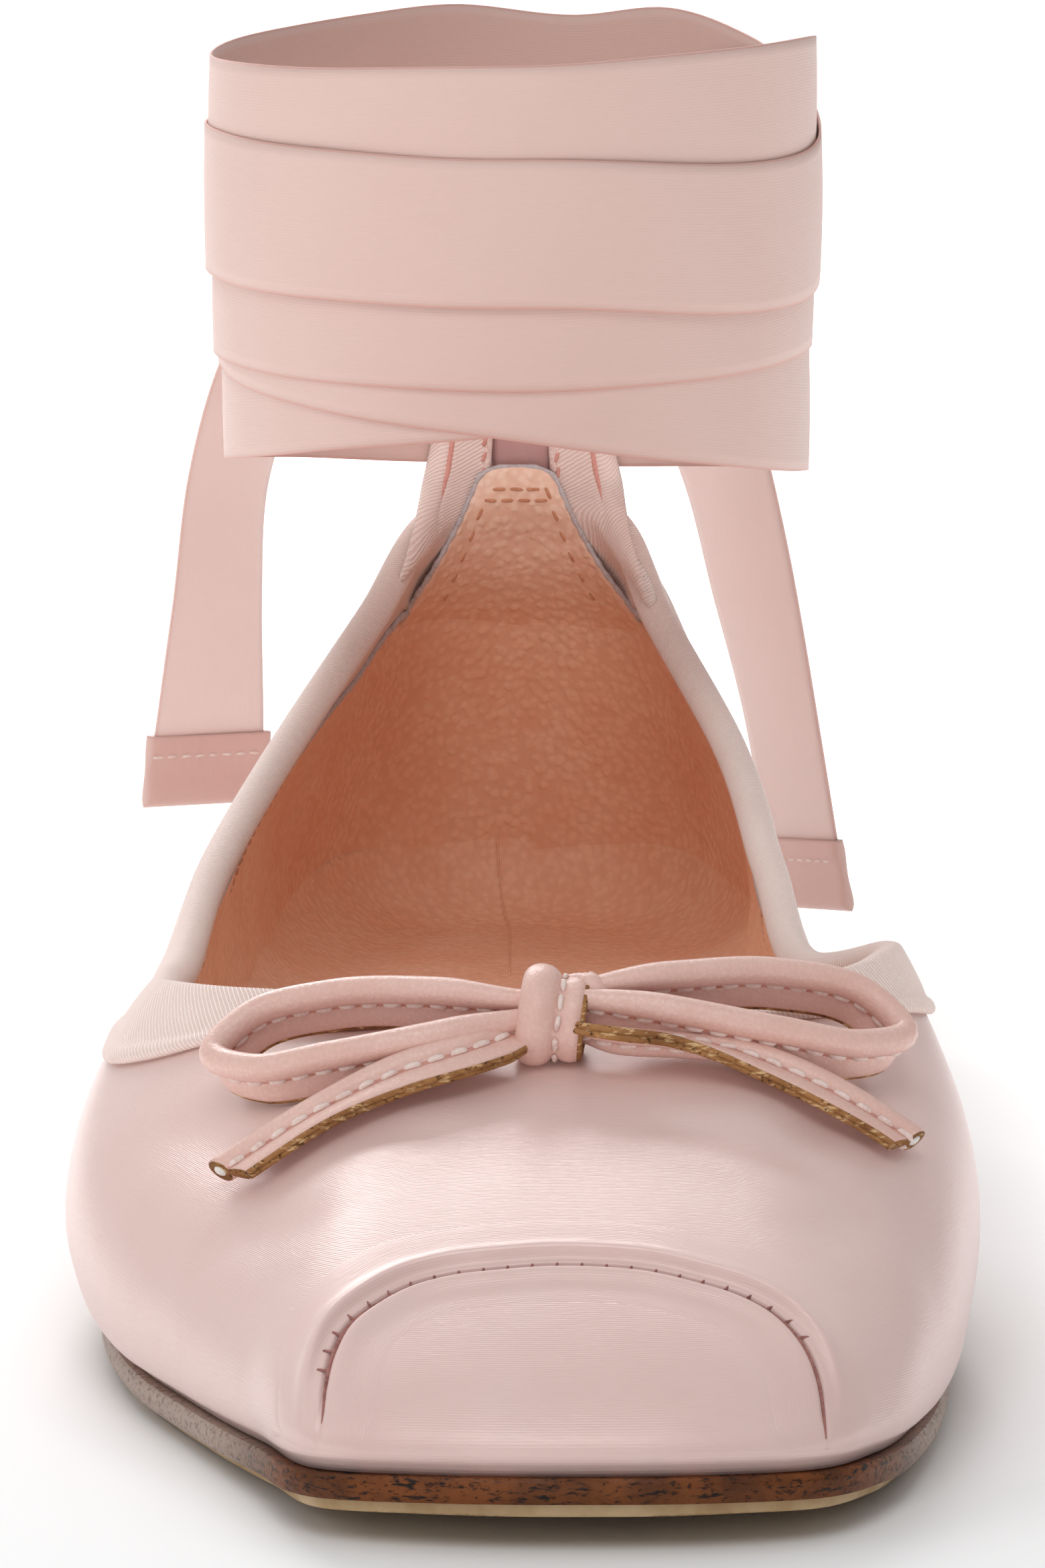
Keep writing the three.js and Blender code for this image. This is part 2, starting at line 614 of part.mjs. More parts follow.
// The lower edge of a turn of ribbon, smooth through its four heights
function ribbonEdge({ back, right, front, left }, turn) {
  const mean = (back + right + front + left) / 4;
  const lengthwise = (back - front) / 2;
  const sideways = (right - left) / 2;
  const twofold = (back + front - right - left) / 4;
  return mean + lengthwise * Math.cos(turn) + sideways * Math.sin(turn) + twofold * Math.cos(2 * turn);
}

// How far a turn stands out from the oval, by the layers of ribbon under it
const wrapThickness = (layers) => RIBBON_CLOTH + RIBBON_STEP * (layers - 1);

// The wound ribbon: every turn is a wall on the same oval, and the outer turns stand proud
function ankleWrap() {
  const turns = RIBBON_TURNS.map((row, k) => {
    const grow = wrapThickness(row.layers);
    const inner = -0.04 * k;
    const rings = Array.from({ length: STEPS_ROUND_ANKLE }, (_, i) => {
      const turn = (2 * Math.PI * i) / STEPS_ROUND_ANKLE;
      const low = ribbonEdge(row, turn);
      const high = low + RIBBON_WIDTH;
      return [
        anklePoint(turn, inner, low),
        anklePoint(turn, grow, low),
        anklePoint(turn, grow, high),
        anklePoint(turn, inner, high),
      ];
    });
    return solidOf(skin(rings, true));
  });
  return geometryOf(turns.reduce((whole, next) => whole.add(next)));
}

// A rounded lump with flattened ends, for the knots
function knot({ wide, deep, high }) {
  const ball = new THREE.SphereGeometry(0.5, 14, 9);
  const position = ball.getAttribute("position");
  const square = 0.72;
  for (let i = 0; i < position.count; i += 1) {
    const at = new THREE.Vector3().fromBufferAttribute(position, i);
    const soft = (v, size) => Math.sign(v) * 0.5 * Math.abs(2 * v) ** square * size;
    position.setXYZ(i, soft(at.x, wide), soft(at.z, deep), soft(at.y, high));
  }
  return facing(
    Array.from({ length: position.count }, (_, i) => new THREE.Vector3().fromBufferAttribute(position, i)),
    Array.from({ length: ball.index.count / 3 }, (_, i) => Array.from(ball.index.array.slice(3 * i, 3 * i + 3))),
  );
}

function ankleKnot() {
  const layers = Math.max(...RIBBON_TURNS.map((row) => row.layers));
  const behind = anklePoint(0, wrapThickness(layers) + GAP, KNOT_HEIGHT);
  const lump = knot(KNOT_SIZE);
  return lump.translate(behind.x, behind.y + KNOT_SIZE.deep / 2, behind.z);
}

// Stations of a tail of ribbon along its path, with its width level and turned from facing back
function tailStations(path, steps) {
  const points = path.map(({ x, back, z }) => new THREE.Vector3(x, yOf(back), z));
  const curve = new THREE.CatmullRomCurve3(points);
  return Array.from({ length: steps + 1 }, (_, i) => {
    const share = i / steps;
    const row = share * (path.length - 1);
    const from = Math.min(Math.floor(row), path.length - 2);
    const turn = THREE.MathUtils.degToRad(mix(path[from].turn, path[from + 1].turn, row - from));
    const run = curve.getTangent(share);
    const level = new THREE.Vector3(Math.cos(turn), Math.sin(turn), 0);
    const thin = run.clone().cross(level).normalize();
    return { at: curve.getPoint(share), run, wide: thin.clone().cross(run).normalize(), thin };
  });
}

function ribbonTail(side) {
  return bar(tailStations(TAIL_PATHS[side], 18), RIBBON_WIDTH, RIBBON_CLOTH);
}

// The folded and stitched end of a tail
function ribbonTip(side) {
  const stations = tailStations(TAIL_PATHS[side], 18);
  const { at, run, wide, thin } = stations[stations.length - 1];
  const ends = [GAP, GAP + TIP_LENGTH].map((far) => ({
    at: at.clone().addScaledVector(run, far),
    wide,
    thin,
  }));
  return bar(ends, TIP_WIDTH, TIP_THICKNESS);
}

// Stations of a bow's strip over the vamp. A loop stands on its edge, and a tail lies on its flat.
function bowStations(rows, steps, standing) {
  const feet = rows.map(({ x, back, lift }) => {
    const { point, normal } = vampAt(x, back);
    return { at: point.addScaledVector(normal, lift), normal };
  });
  const curve = new THREE.CatmullRomCurve3(feet.map(({ at }) => at));
  const normals = new THREE.CatmullRomCurve3(feet.map(({ normal }) => normal));
  return Array.from({ length: steps + 1 }, (_, i) => {
    const share = i / steps;
    const run = curve.getTangent(share);
    const side = normals.getPoint(share).cross(run).normalize();
    const over = run.clone().cross(side).normalize();
    return { at: curve.getPoint(share), wide: standing ? over : side, thin: standing ? side : over };
  });
}

const bowLoop = (side) => bar(bowStations(BOW_LOOPS[side], 32, true), STRIP_WIDTH, STRIP_THICKNESS);
const bowTail = (side) => bar(bowStations(BOW_TAILS[side], 12, false), STRIP_WIDTH, STRIP_THICKNESS);

function bowKnot() {
  const { point, normal } = vampAt(BOW_AT.x, BOW_AT.back);
  const at = point.addScaledVector(normal, BOW_AT.lift);
  return knot(BOW_KNOT).translate(at.x, at.y, at.z);
}

const shoe = new THREE.Group();
function add(name, geometry, material) {
  const mesh = new THREE.Mesh(geometry, material);
  mesh.name = name;
  shoe.add(mesh);
}

add("outsole", outsole(), COLOURS.soleEdge);
add("tread", tread(), COLOURS.tread);
add("heel", heel(), COLOURS.soleEdge);
add("insole", insole(), COLOURS.lining);
add("upper", upper(), COLOURS.satin);
add("collar_binding", collarBinding(), COLOURS.grosgrain);
add("toe_seam", toeSeam(), COLOURS.satin);
add("heel_loop", heelLoop(), COLOURS.grosgrain);
add("ankle_wrap", ankleWrap(), COLOURS.ribbon);
add("ankle_knot", ankleKnot(), COLOURS.ribbon);
add("bow_knot", bowKnot(), COLOURS.bowLeather);
for (const side of ["outer", "inner"]) {
  add(`ribbon_tail_${side}`, ribbonTail(side), COLOURS.ribbon);
  add(`ribbon_tip_${side}`, ribbonTip(side), COLOURS.ribbon);
  add(`bow_loop_${side}`, bowLoop(side), COLOURS.bowLeather);
  add(`bow_tail_${side}`, bowTail(side), COLOURS.bowLeather);
}

export default shoe;
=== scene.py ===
"""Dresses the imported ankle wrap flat: satin upper, toe seam, bound collar, leather bow and wound ribbon."""
import logging
import math
from dataclasses import dataclass, field, replace
from enum import Enum

import bpy
import numpy as np
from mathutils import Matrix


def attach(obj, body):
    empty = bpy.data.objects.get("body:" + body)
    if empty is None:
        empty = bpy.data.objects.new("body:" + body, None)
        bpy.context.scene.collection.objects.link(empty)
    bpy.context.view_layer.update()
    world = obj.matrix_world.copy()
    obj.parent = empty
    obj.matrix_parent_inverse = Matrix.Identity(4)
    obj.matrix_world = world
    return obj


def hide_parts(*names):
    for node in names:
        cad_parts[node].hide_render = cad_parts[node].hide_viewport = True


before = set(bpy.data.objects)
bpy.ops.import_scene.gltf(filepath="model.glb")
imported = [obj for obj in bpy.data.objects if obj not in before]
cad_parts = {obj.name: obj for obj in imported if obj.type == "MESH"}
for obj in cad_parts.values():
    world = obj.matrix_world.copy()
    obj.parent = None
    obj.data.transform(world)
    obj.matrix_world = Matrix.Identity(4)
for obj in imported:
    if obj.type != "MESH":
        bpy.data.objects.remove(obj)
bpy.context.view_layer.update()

Array = np.ndarray
Piece = bpy.types.Object
Socket = bpy.types.NodeSocket
Colour = tuple[float, float, float, float]
MM = 0.001
LOG = logging.getLogger("ankle_wrap_flat")

# foot x, foot back, top x, top back, top z, bulge, shoulder, vamp: the last's sections from the heel's
# middle along the outer side to the toe and back along the inner side, in mm behind the toe
SECTIONS = np.array([
    (0, 239.2, 0, 235.2, 61.6, 4, 4.4, 0), (-15.6, 233.6, -10, 230.6, 59.2, 4.4, 4.6, 0),
    (-24.6, 215, -16.8, 211, 51, 5.4, 5, 0), (-26.4, 188, -25, 181, 41.8, 6.4, 5, 0),
    (-29, 154, -31.4, 144, 34.6, 6, 2.6, 0), (-35, 116, -33.2, 112, 30.6, 7.6, 4.4, 0),
    (-38.6, 82, -33.8, 92, 31.6, 8.6, 6.8, 0.04), (-35, 54, -32.4, 80.6, 33, 7.4, 6, 0.28),
    (-28.8, 35.5, -26, 72, 34, 5, 3.6, 0.6), (-22.8, 19, -17.4, 66.8, 34.6, 3.4, 1.4, 0.85),
    (-16.8, 4.4, -9.2, 64.6, 35, 2, 0.2, 0.97), (-7, 1.2, -3, 64.1, 35.2, 1.2, 0, 1),
    (4.8, 0.3, 3.6, 64, 35.3, 1, 0, 1), (16, 1.2, 10.4, 64.2, 35.3, 1.2, 0, 1),
    (25.2, 4.6, 17.2, 65.2, 35.3, 2, 0.2, 0.97), (30.8, 14, 23.4, 67.6, 35.4, 3.4, 1.4, 0.85),
    (34.6, 28, 29.4, 72.2, 35.8, 5, 3.2, 0.6), (37.2, 46, 33.6, 79, 36.4, 6.4, 4.6, 0.28),
    (38.4, 70, 34.2, 88.4, 35.4, 7.8, 5.2, 0.04), (35, 102, 28, 108, 31, 6, 4.6, 0),
    (24.4, 146, 25.4, 142, 34.6, 4.6, 1.4, 0), (22.8, 186, 22, 181, 41.8, 5, 3.6, 0),
    (23.8, 215, 15.2, 211, 51, 5.2, 5, 0), (15.4, 233.6, 10, 230.6, 59.2, 4.4, 4.6, 0),
])
TOE_ROW = 12


class Side(Enum):
    """The wearer's outer and inner side of a right shoe."""

    OUTER = "outer"
    INNER = "inner"


def unit(vectors: Array) -> Array:
    """Scales each vector to a length of one."""
    return vectors / np.maximum(np.linalg.norm(vectors, axis=-1, keepdims=True), 1e-9)


def ease(value: Array, low: float, high: float) -> Array:
    """Rises smoothly from 0 at low to 1 at high."""
    share = np.clip((value - low) / (high - low), 0.0, 1.0)
    return share * share * (3.0 - 2.0 * share)


def bell(value: Array, width: float) -> Array:
    """A soft bump of height one round zero."""
    return np.exp(-((value / width) ** 2))


def linear(red: float, green: float, blue: float) -> Colour:
    """Turns a colour as seen on a screen, 0 to 255, into scene light."""
    parts = [c / 255.0 for c in (red, green, blue)]
    return (*(p / 12.92 if p <= 0.04045 else ((p + 0.055) / 1.055) ** 2.4 for p in parts), 1.0)


def circle(radius: float, count: int) -> Array:
    """A closed round section in mm, its last point on its first."""
    turn = np.linspace(0, 2 * math.pi, count)
    return radius * np.stack([np.cos(turn), np.sin(turn)], axis=-1)


def same(way: tuple | Array, count: int) -> Array:
    """One direction, repeated for every station."""
    return np.tile(np.asarray(way, float), (count, 1))


class SmoothCurve:
    """A smooth curve through rows of numbers, read by the distance along it."""

    def __init__(self, rows: Array, measured: int, closed: bool = False) -> None:
        """Fits the curve.

        Args:
            rows: one row for each point, with any number of columns.
            measured: how many leading columns give the distance between rows.
            closed: whether the last row runs on into the first.
        """
        self.rows = np.asarray(rows, float)
        self.closed = closed
        path = np.vstack([self.rows, self.rows[:1]]) if closed else self.rows
        steps = np.linalg.norm(np.diff(path[:, :measured], axis=0), axis=1)
        self.knots = np.concatenate([[0.0], np.cumsum(steps)])
        self.length = float(self.knots[-1])
        rates = np.diff(path, axis=0) / steps[:, None]
        if closed:
            before, after, h0, h1 = np.roll(rates, 1, axis=0), rates, np.roll(steps, 1), steps
            self.slopes = (before * h1[:, None] + after * h0[:, None]) / (h0 + h1)[:, None]
        else:
            h0, h1 = steps[:-1, None], steps[1:, None]
            inner = (rates[:-1] * h1 + rates[1:] * h0) / (h0 + h1)
            self.slopes = np.vstack([rates[:1], inner, rates[-1:]])

    def at(self, where: Array) -> Array:
        """Reads the curve.

        Args:
            where: distances along it, of any shape.

        Returns:
            One row of the curve's columns for each distance.
        """
        where = np.asarray(where, float)
        s = np.mod(where, self.length) if self.closed else np.clip(where, 0.0, self.length)
        i = np.clip(np.searchsorted(self.knots, s, side="right") - 1, 0, len(self.knots) - 2)
        j = (i + 1) % len(self.rows)
        h = (self.knots[i + 1] - self.knots[i])[..., None]
        t = (s - self.knots[i])[..., None] / h
        r = 1.0 - t
        ends = self.rows[i] * (1 + 2 * t) * r * r + self.rows[j] * t * t * (3 - 2 * t)
        return ends + h * t * r * (self.slopes[i] * r - self.slopes[j] * t)

    def even(self, count: int) -> Array:
        """Reads the curve at even distances from end to end."""
        return self.at(np.linspace(0, self.length, count))


@dataclass
class Last:
    """The shoe's form: where its wall, feather line and sole lie, in mm."""

    toe_to_origin: float = 72.0
    toe_spring: float = 2.8
    toe_spring_end: float = 52.0
    arch_start: float = 96.0
    heel_breast: float = 184.0
    heel_rise: float = 8.0
    tread: float = 1.0
    outsole: float = 2.2
    insole: float = 1.5
    gap: float = 0.3
    wall_thickness: float = 1.6
    # each beside the foot and on the vamp: the bulge's height, the shoulder's lean and its drop, as shares
    rise: tuple[float, float] = (0.26, 0.3)
    lean: tuple[float, float] = (0.0, 0.6)
    drop: tuple[float, float] = (0.2, 0.42)
    table: SmoothCurve = field(default_factory=lambda: SmoothCurve(SECTIONS, 2, closed=True))

    def ground(self, back: Array) -> Array:
        """The underside of the tread: toe spring, flat forefoot, arch and heel seat."""
        spring = self.toe_spring * (1 - np.minimum(back, self.toe_spring_end) / self.toe_spring_end) ** 2
        t = np.clip((back - self.arch_start) / (self.heel_breast - self.arch_start), 0, 1)
        return spring + self.heel_rise * t**3 * (t * (6 * t - 15) + 10)

    def outsole_bottom(self, back: Array) -> Array:
        """The underside of the outsole."""
        return self.ground(back) + self.tread + self.gap

    def feather(self, back: Array) -> Array:
        """The height of the line where the upper meets the sole."""
        return self.outsole_bottom(back) + self.outsole + self.gap

    def outward(self, along: Array) -> Array:
        """The level direction away from the foot at each place of the feather line."""
        step = self.table.at(along + 0.6)[..., :2] - self.table.at(along - 0.6)[..., :2]
        out = unit(np.stack([step[..., 1], -step[..., 0]], axis=-1))
        return np.concatenate([out, np.zeros_like(out[..., :1])], axis=-1)

    def wall(self, along: Array, up: Array) -> Array:
        """The outside of the upper.

        Args:
            along: distance round the feather line from the heel's middle.
            up: 0 at the sole to 1 at the collar.

        Returns:
            The places.
        """
        along, up = np.broadcast_arrays(np.asarray(along, float), np.asarray(up, float))
        fx, fb, tx, tb, tz, bulge, shoulder, vamp = np.moveaxis(self.table.at(along), -1, 0)
        vamp = np.clip(vamp, 0, 1)
        out = self.outward(along)
        foot = np.stack([fx, fb - self.toe_to_origin, self.feather(fb)], axis=-1)
        top = np.stack([tx, tb - self.toe_to_origin, tz], axis=-1)
        height = (tz - foot[..., 2])[..., None]
        rise, lean, drop = (
            (beside + (front - beside) * vamp)[..., None]
            for beside, front in (self.rise, self.lean, self.drop)
        )
        lift = np.array([0.0, 0.0, 1.0])
        low = foot + out * bulge[..., None] + lift * rise * height
        over = np.concatenate([foot[..., :2], top[..., 2:]], axis=-1)
        high = top + (over - top) * lean + out * shoulder[..., None] - lift * drop * height
        t = up[..., None]
        r = 1 - t
        return foot * r**3 + 3 * low * t * r * r + 3 * high * t * t * r + top * t**3

    def normal(self, along: Array, up: Array) -> Array:
        """The outward direction of the upper."""
        up = np.asarray(up, float)
        round_ = self.wall(along + 0.4, up) - self.wall(along - 0.4, up)
        over = self.wall(along, np.minimum(1, up + 0.01)) - self.wall(along, np.maximum(0, up - 0.01))
        return unit(np.cross(round_, over))

    def offset(self, along: Array, up: Array, lift: Array) -> Array:
        """A place of the upper moved out by lift."""
        return self.wall(along, up) + self.normal(along, up) * np.asarray(lift, float)[..., None]

    def slopes(self, along: Array, up: Array, step: float) -> tuple[Array, Array, Array]:
        """Reads the upper and how it changes.

        Args:
            along: places round the feather line.
            up: heights up the wall.
            step: the step along the feather line in mm; the step up is a hundredth of it.

        Returns:
            The places, and their change for one mm along and for the wall's whole height.
        """
        here, rise = self.wall(along, up), step / 100
        by_along = (self.wall(along + step, up) - here) / step
        return here, by_along, (self.wall(along, up + rise) - here) / rise

    def vamp_at(self, x: Array, back: Array) -> tuple[Array, Array]:
        """Finds the place on the vamp over a plan position.

        Args:
            x: sideways position.
            back: distance behind the toe.

        Returns:
            The place along the feather line and the height up the wall.
        """
        x, y = np.asarray(x, float), np.asarray(back, float) - self.toe_to_origin
        along, up = np.full(x.shape, self.table.knots[TOE_ROW]), np.full(x.shape, 0.7)
        for _ in range(40):
            here, by_along, by_up = self.slopes(along, up, 0.5)
            miss_x, miss_y = x - here[..., 0], y - here[..., 1]
            det = by_along[..., 0] * by_up[..., 1] - by_up[..., 0] * by_along[..., 1]
            along = along + np.clip((miss_x * by_up[..., 1] - by_up[..., 0] * miss_y) / det, -6, 6)
            up = up + np.clip((by_along[..., 0] * miss_y - miss_x * by_along[..., 1]) / det, -0.08, 0.08)
            up = np.clip(up, 0.02, 0.99)
        return along, up


def deselect() -> None:
    """Leaves edit mode and selects nothing."""
    if bpy.context.object is not None and bpy.context.object.mode != "OBJECT":
        bpy.ops.object.mode_set(mode="OBJECT")
    bpy.ops.object.select_all(action="DESELECT")


def pick(piece: Piece) -> None:
    """Selects one piece alone and makes it active."""
    deselect()
    piece.select_set(True)
    bpy.context.view_layer.objects.active = piece


def lattice(
    name: str, points: Array, lengths: Array | None = None, closed: bool = False, caps: bool = False,
    ring: bool = False,
) -> Piece:
    """Shapes a grid of faces onto a lattice of points.

    Args:
        name: the piece's name.
        points: places in mm, shape (stations, rows, 3).
        lengths: the material's own coordinates in mm, shape (stations, rows, 2), or None to measure them.
        closed: merges what meets and turns the faces outwards.
        caps: fills the open ends first.
        ring: merges what meets and leaves the faces as they are.

    Returns:
        The piece, smooth, with its place in its mesh.
    """
    stations, rows = points.shape[:2]
    deselect()
    bpy.ops.mesh.primitive_grid_add(x_subdivisions=stations - 1, y_subdivisions=rows - 1, size=2.0)
    piece = bpy.context.active_object
    piece.name = piece.data.name = name
    mesh = piece.data
    flat = np.empty(len(mesh.vertices) * 3)
    mesh.vertices.foreach_get("co", flat)
    flat = flat.reshape(-1, 3)
    i = np.rint((flat[:, 0] + 1) / 2 * (stations - 1)).astype(int)
    j = np.rint((flat[:, 1] + 1) / 2 * (rows - 1)).astype(int)
    mesh.vertices.foreach_set("co", (points[i, j] * MM).ravel())
    lengths = measure(points) if lengths is None else lengths
    corner = np.empty(len(mesh.loops), dtype=np.int32)
    mesh.loops.foreach_get("vertex_index", corner)
    mesh.uv_layers.active.data.foreach_set("uv", lengths[i, j][corner].ravel())
    mesh.update()
    if closed or ring:
        bpy.ops.object.mode_set(mode="EDIT")
        bpy.ops.mesh.select_all(action="SELECT")
        bpy.ops.mesh.remove_doubles(threshold=2e-6)
        if caps:
            bpy.ops.mesh.fill_holes(sides=0)
            bpy.ops.mesh.select_all(action="SELECT")
        if closed:
            bpy.ops.mesh.normals_make_consistent(inside=False)
        bpy.ops.object.mode_set(mode="OBJECT")
    bpy.ops.object.shade_smooth()
    return piece


def thicken(piece: Piece, thickness: float, offset: float = -1.0) -> Piece:
    """Gives a sheet its thickness in mm, inwards unless offset says otherwise."""
    pick(piece)
    wall = piece.modifiers.new("cloth", "SOLIDIFY")
    wall.thickness = thickness * MM
    wall.offset = offset
    wall.use_quality_normals = True
    bpy.ops.object.modifier_apply(modifier=wall.name)
    return piece


def measure(points: Array) -> Array:
    """The material's own coordinates of a lattice: mm along its middle row and mm across each station."""
    steps = np.linalg.norm(np.diff(points, axis=0), axis=2).mean(axis=1)
    across = np.linalg.norm(np.diff(points, axis=1), axis=2)
    u = np.concatenate([[0.0], np.cumsum(steps)])
    v = np.concatenate([np.zeros((len(points), 1)), np.cumsum(across, axis=1)], axis=1)
    return np.stack([np.broadcast_to(u[:, None], v.shape), v], axis=-1)


def sweep(
    name: str, middle: Array, wide: Array, thin: Array, profile: Array, ends: Array | None = None,
    loop: bool = False,
) -> Piece:
    """Runs a closed section along a path.

    Args:
        name: the piece's name.
        middle: the path in mm, shape (stations, 3).
        wide: the section's first direction at each station.
        thin: the section's second direction at each station.
        profile: the section in mm, shape (rows, 2), its last point on its first.
        ends: a scale of the section at each station.
        loop: whether the path's last station lies on its first.

    Returns:
        A closed piece, with capped ends if the path is open.
    """
    size = (np.ones(len(middle)) if ends is None else ends)[:, None, None]
    points = middle[:, None] + wide[:, None] * (profile[:, :1] * size)
    points = points + thin[:, None] * (profile[:, 1:] * size)
    if loop:
        points[-1] = points[0]
    return lattice(name, points, closed=True, caps=not loop)


# along, thickness and lift of a stitch's rings, as shares of its length and half its thread
STITCH_RINGS = (
    (-0.5, 0.25, -0.35), (-0.36, 0.9, 0.0), (0.0, 1.0, 0.12), (0.36, 0.9, 0.0), (0.5, 0.25, -0.35),
)
STITCH_SIDES = 6


def stitches(
    name: str, at: Array, run: Array, up: Array, length: float, width: float, rng_seed: int,
) -> Piece:
    """Lays a row of thread stitches as one mesh.

    Args:
        name: the piece's name.
        at: the stitches' middles in mm, shape (count, 3).
        run: the way each stitch lies.
        up: the way each stitch stands proud.
        length: a stitch's length in mm.
        width: the thread's thickness in mm.
        rng_seed: the seed of the small irregularities.

    Returns:
        The row of stitches.
    """
    rng = np.random.default_rng(rng_seed)
    run = unit(run + rng.normal(0, 0.05, run.shape))
    side = unit(np.cross(up, run))
    top = np.cross(run, side)
    sides = STITCH_SIDES
    turn = 2 * np.pi * np.arange(sides) / sides
    lengths = length * (1 + rng.normal(0, 0.04, len(at)))
    verts = []
    for where, grow, rise in STITCH_RINGS:
        ring = (
            at[:, None]
            + run[:, None] * (lengths * where)[:, None, None]
            + side[:, None] * (np.cos(turn) * grow * width / 2)[None, :, None]
            + top[:, None] * ((np.sin(turn) * grow + rise) * width / 2)[None, :, None]
        )
        verts.append(ring)
    block = np.concatenate(verts, axis=1)
    count = len(STITCH_RINGS) * sides
    faces = [
        (r * sides + k, r * sides + (k + 1) % sides, (r + 1) * sides + (k + 1) % sides, (r + 1) * sides + k)
        for r in range(len(STITCH_RINGS) - 1) for k in range(sides)
    ]
    faces += [tuple(range(sides - 1, -1, -1)), tuple(range(count - sides, count))]
    every = [tuple(c + n * count for c in face) for n in range(len(at)) for face in faces]
    mesh = bpy.data.meshes.new(name)
    mesh.from_pydata((block.reshape(-1, 3) * MM).tolist(), [], every)
    mesh.update()
    piece = bpy.data.objects.new(name, mesh)
    bpy.context.scene.collection.objects.link(piece)
    pick(piece)
    bpy.ops.object.shade_smooth()
    return piece


class Tree:
    """A node tree with short calls for its nodes."""

    def __init__(self, tree: bpy.types.NodeTree) -> None:
        """Wraps a tree."""
        self.tree = tree

    def feed(self, socket: Socket, value: object) -> None:
        """Links a socket into another, or sets its number."""
        if isinstance(value, bpy.types.NodeSocket):
            self.tree.links.new(value, socket)
        else:
            socket.default_value = value

    def node(self, kind: str, inputs: dict | None = None, **settings: object) -> bpy.types.Node:
        """Adds a node.

        Args:
            kind: the node's type.
            inputs: values or sockets for its inputs, by name or number.
            settings: its own properties.

        Returns:
            The node.
        """
        node = self.tree.nodes.new(kind)
        for key, value in settings.items():
            setattr(node, key, value)
        for key, value in (inputs or {}).items():
            self.feed(node.inputs[key], value)
        return node

    def math(self, operation: str, a: object, b: object = 0.0) -> Socket:
        """Adds a Math node and gives its result."""
        return self.node("ShaderNodeMath", {0: a, 1: b}, operation=operation).outputs[0]

    def plus(self, a: object, b: object) -> Socket:
        """Adds two values."""
        return self.math("ADD", a, b)

    def times(self, a: object, b: object) -> Socket:
        """Multiplies two values."""
        return self.math("MULTIPLY", a, b)

    def fade(self, value: object, low: float, high: float, start: float = 0.0, end: float = 1.0) -> Socket:
        """Maps a value smoothly from low..high to start..end."""
        inputs = {0: value, 1: low, 2: high, 3: start, 4: end}
        return self.node("ShaderNodeMapRange", inputs, interpolation_type="SMOOTHSTEP").outputs[0]

    def blend(self, share: object, a: object, b: object) -> Socket:
        """Mixes two colours."""
        return self.node("ShaderNodeMix", {0: share, 6: a, 7: b}, data_type="RGBA").outputs[2]

    def parts(self, vector: Socket) -> list[Socket]:
        """Splits a vector into its x, y and z."""
        return self.node("ShaderNodeSeparateXYZ", {0: vector}).outputs

    def stretch(self, vector: Socket, scale: tuple[float, float, float]) -> Socket:
        """Scales a pattern's coordinates."""
        return self.node("ShaderNodeMapping", {"Vector": vector, "Scale": scale}).outputs[0]

    def noise(self, vector: Socket, scale: object, detail: float = 3.0, rough: float = 0.55) -> Socket:
        """Adds a Noise texture and gives its value."""
        inputs = {"Vector": vector, "Scale": scale, "Detail": detail, "Roughness": rough}
        return self.node("ShaderNodeTexNoise", inputs).outputs[0]

    def group(self, tree: bpy.types.NodeTree, **inputs: object) -> bpy.types.Node:
        """Places a shared node group with its own values."""
        node = self.node("ShaderNodeGroup", node_tree=tree)
        for key, value in inputs.items():
            self.feed(node.inputs[key.replace("_", " ")], value)
        return node


def shared_group(
    name: str, inputs: dict[str, float | None], outputs: tuple[str, ...],
) -> tuple[Tree, bpy.types.Node, bpy.types.Node]:
    """Starts a shared node group.

    Args:
        name: the group's name.
        inputs: its inputs by name, with a number each, or None for a vector.
        outputs: the names of the values it puts out.

    Returns:
        The group's tree and its input and output nodes.
    """
    group = bpy.data.node_groups.new(name, "ShaderNodeTree")
    for key, value in inputs.items():
        kind = "NodeSocketVector" if value is None else "NodeSocketFloat"
        socket = group.interface.new_socket(name=key, in_out="INPUT", socket_type=kind)
        if value is not None:
            socket.default_value = value
    for key in outputs:
        group.interface.new_socket(name=key, in_out="OUTPUT", socket_type="NodeSocketFloat")
    tree = Tree(group)
    return tree, tree.node("NodeGroupInput"), tree.node("NodeGroupOutput")


def thread_group() -> bpy.types.NodeTree:
    """Fine threads of a satin: long floats across the cloth, with light specks that are painted glints."""
    values = {"Vector": None, "Pitch": 0.3, "Float": 2.5}
    tree, start, end = shared_group("satin_threads", values, ("Height", "Painted_glints"))
    vector, pitch, float_ = start.outputs[:3]
    parts = tree.parts(vector)
    long_ = tree.math("DIVIDE", parts[0], float_)
    fine = tree.math("DIVIDE", parts[1], pitch)
    flat = tree.node("ShaderNodeCombineXYZ", {0: long_, 1: fine}).outputs[0]
    streaks = tree.noise(flat, 1.0, 2.0, 0.6)
    ribs = tree.math("SINE", tree.times(fine, 2 * math.pi))
    height = tree.plus(streaks, tree.times(ribs, 0.18))
    # light specks, painted into the colour below as glints off the fibres
    specks = tree.noise(tree.stretch(vector, (2.6, 3.4, 1.0)), 1.0, 2.0, 0.7)
    tree.feed(end.inputs[0], height)
    tree.feed(end.inputs[1], tree.fade(specks, 0.6, 0.78))
    return tree.tree


def mottle_group() -> bpy.types.NodeTree:
    """Slow unevenness of a dyed or handled surface."""
    values = {"Vector": None, "Scale": 60.0, "Contrast": 1.0}
    tree, start, end = shared_group("soft_mottle", values, ("Share",))
    vector, scale, contrast = start.outputs[:3]
    noise = tree.noise(vector, scale, 4.0, 0.6)
    centred = tree.times(tree.math("SUBTRACT", noise, 0.5), contrast)
    tree.feed(end.inputs[0], tree.fade(tree.plus(centred, 0.5), 0.25, 0.75))
    return tree.tree


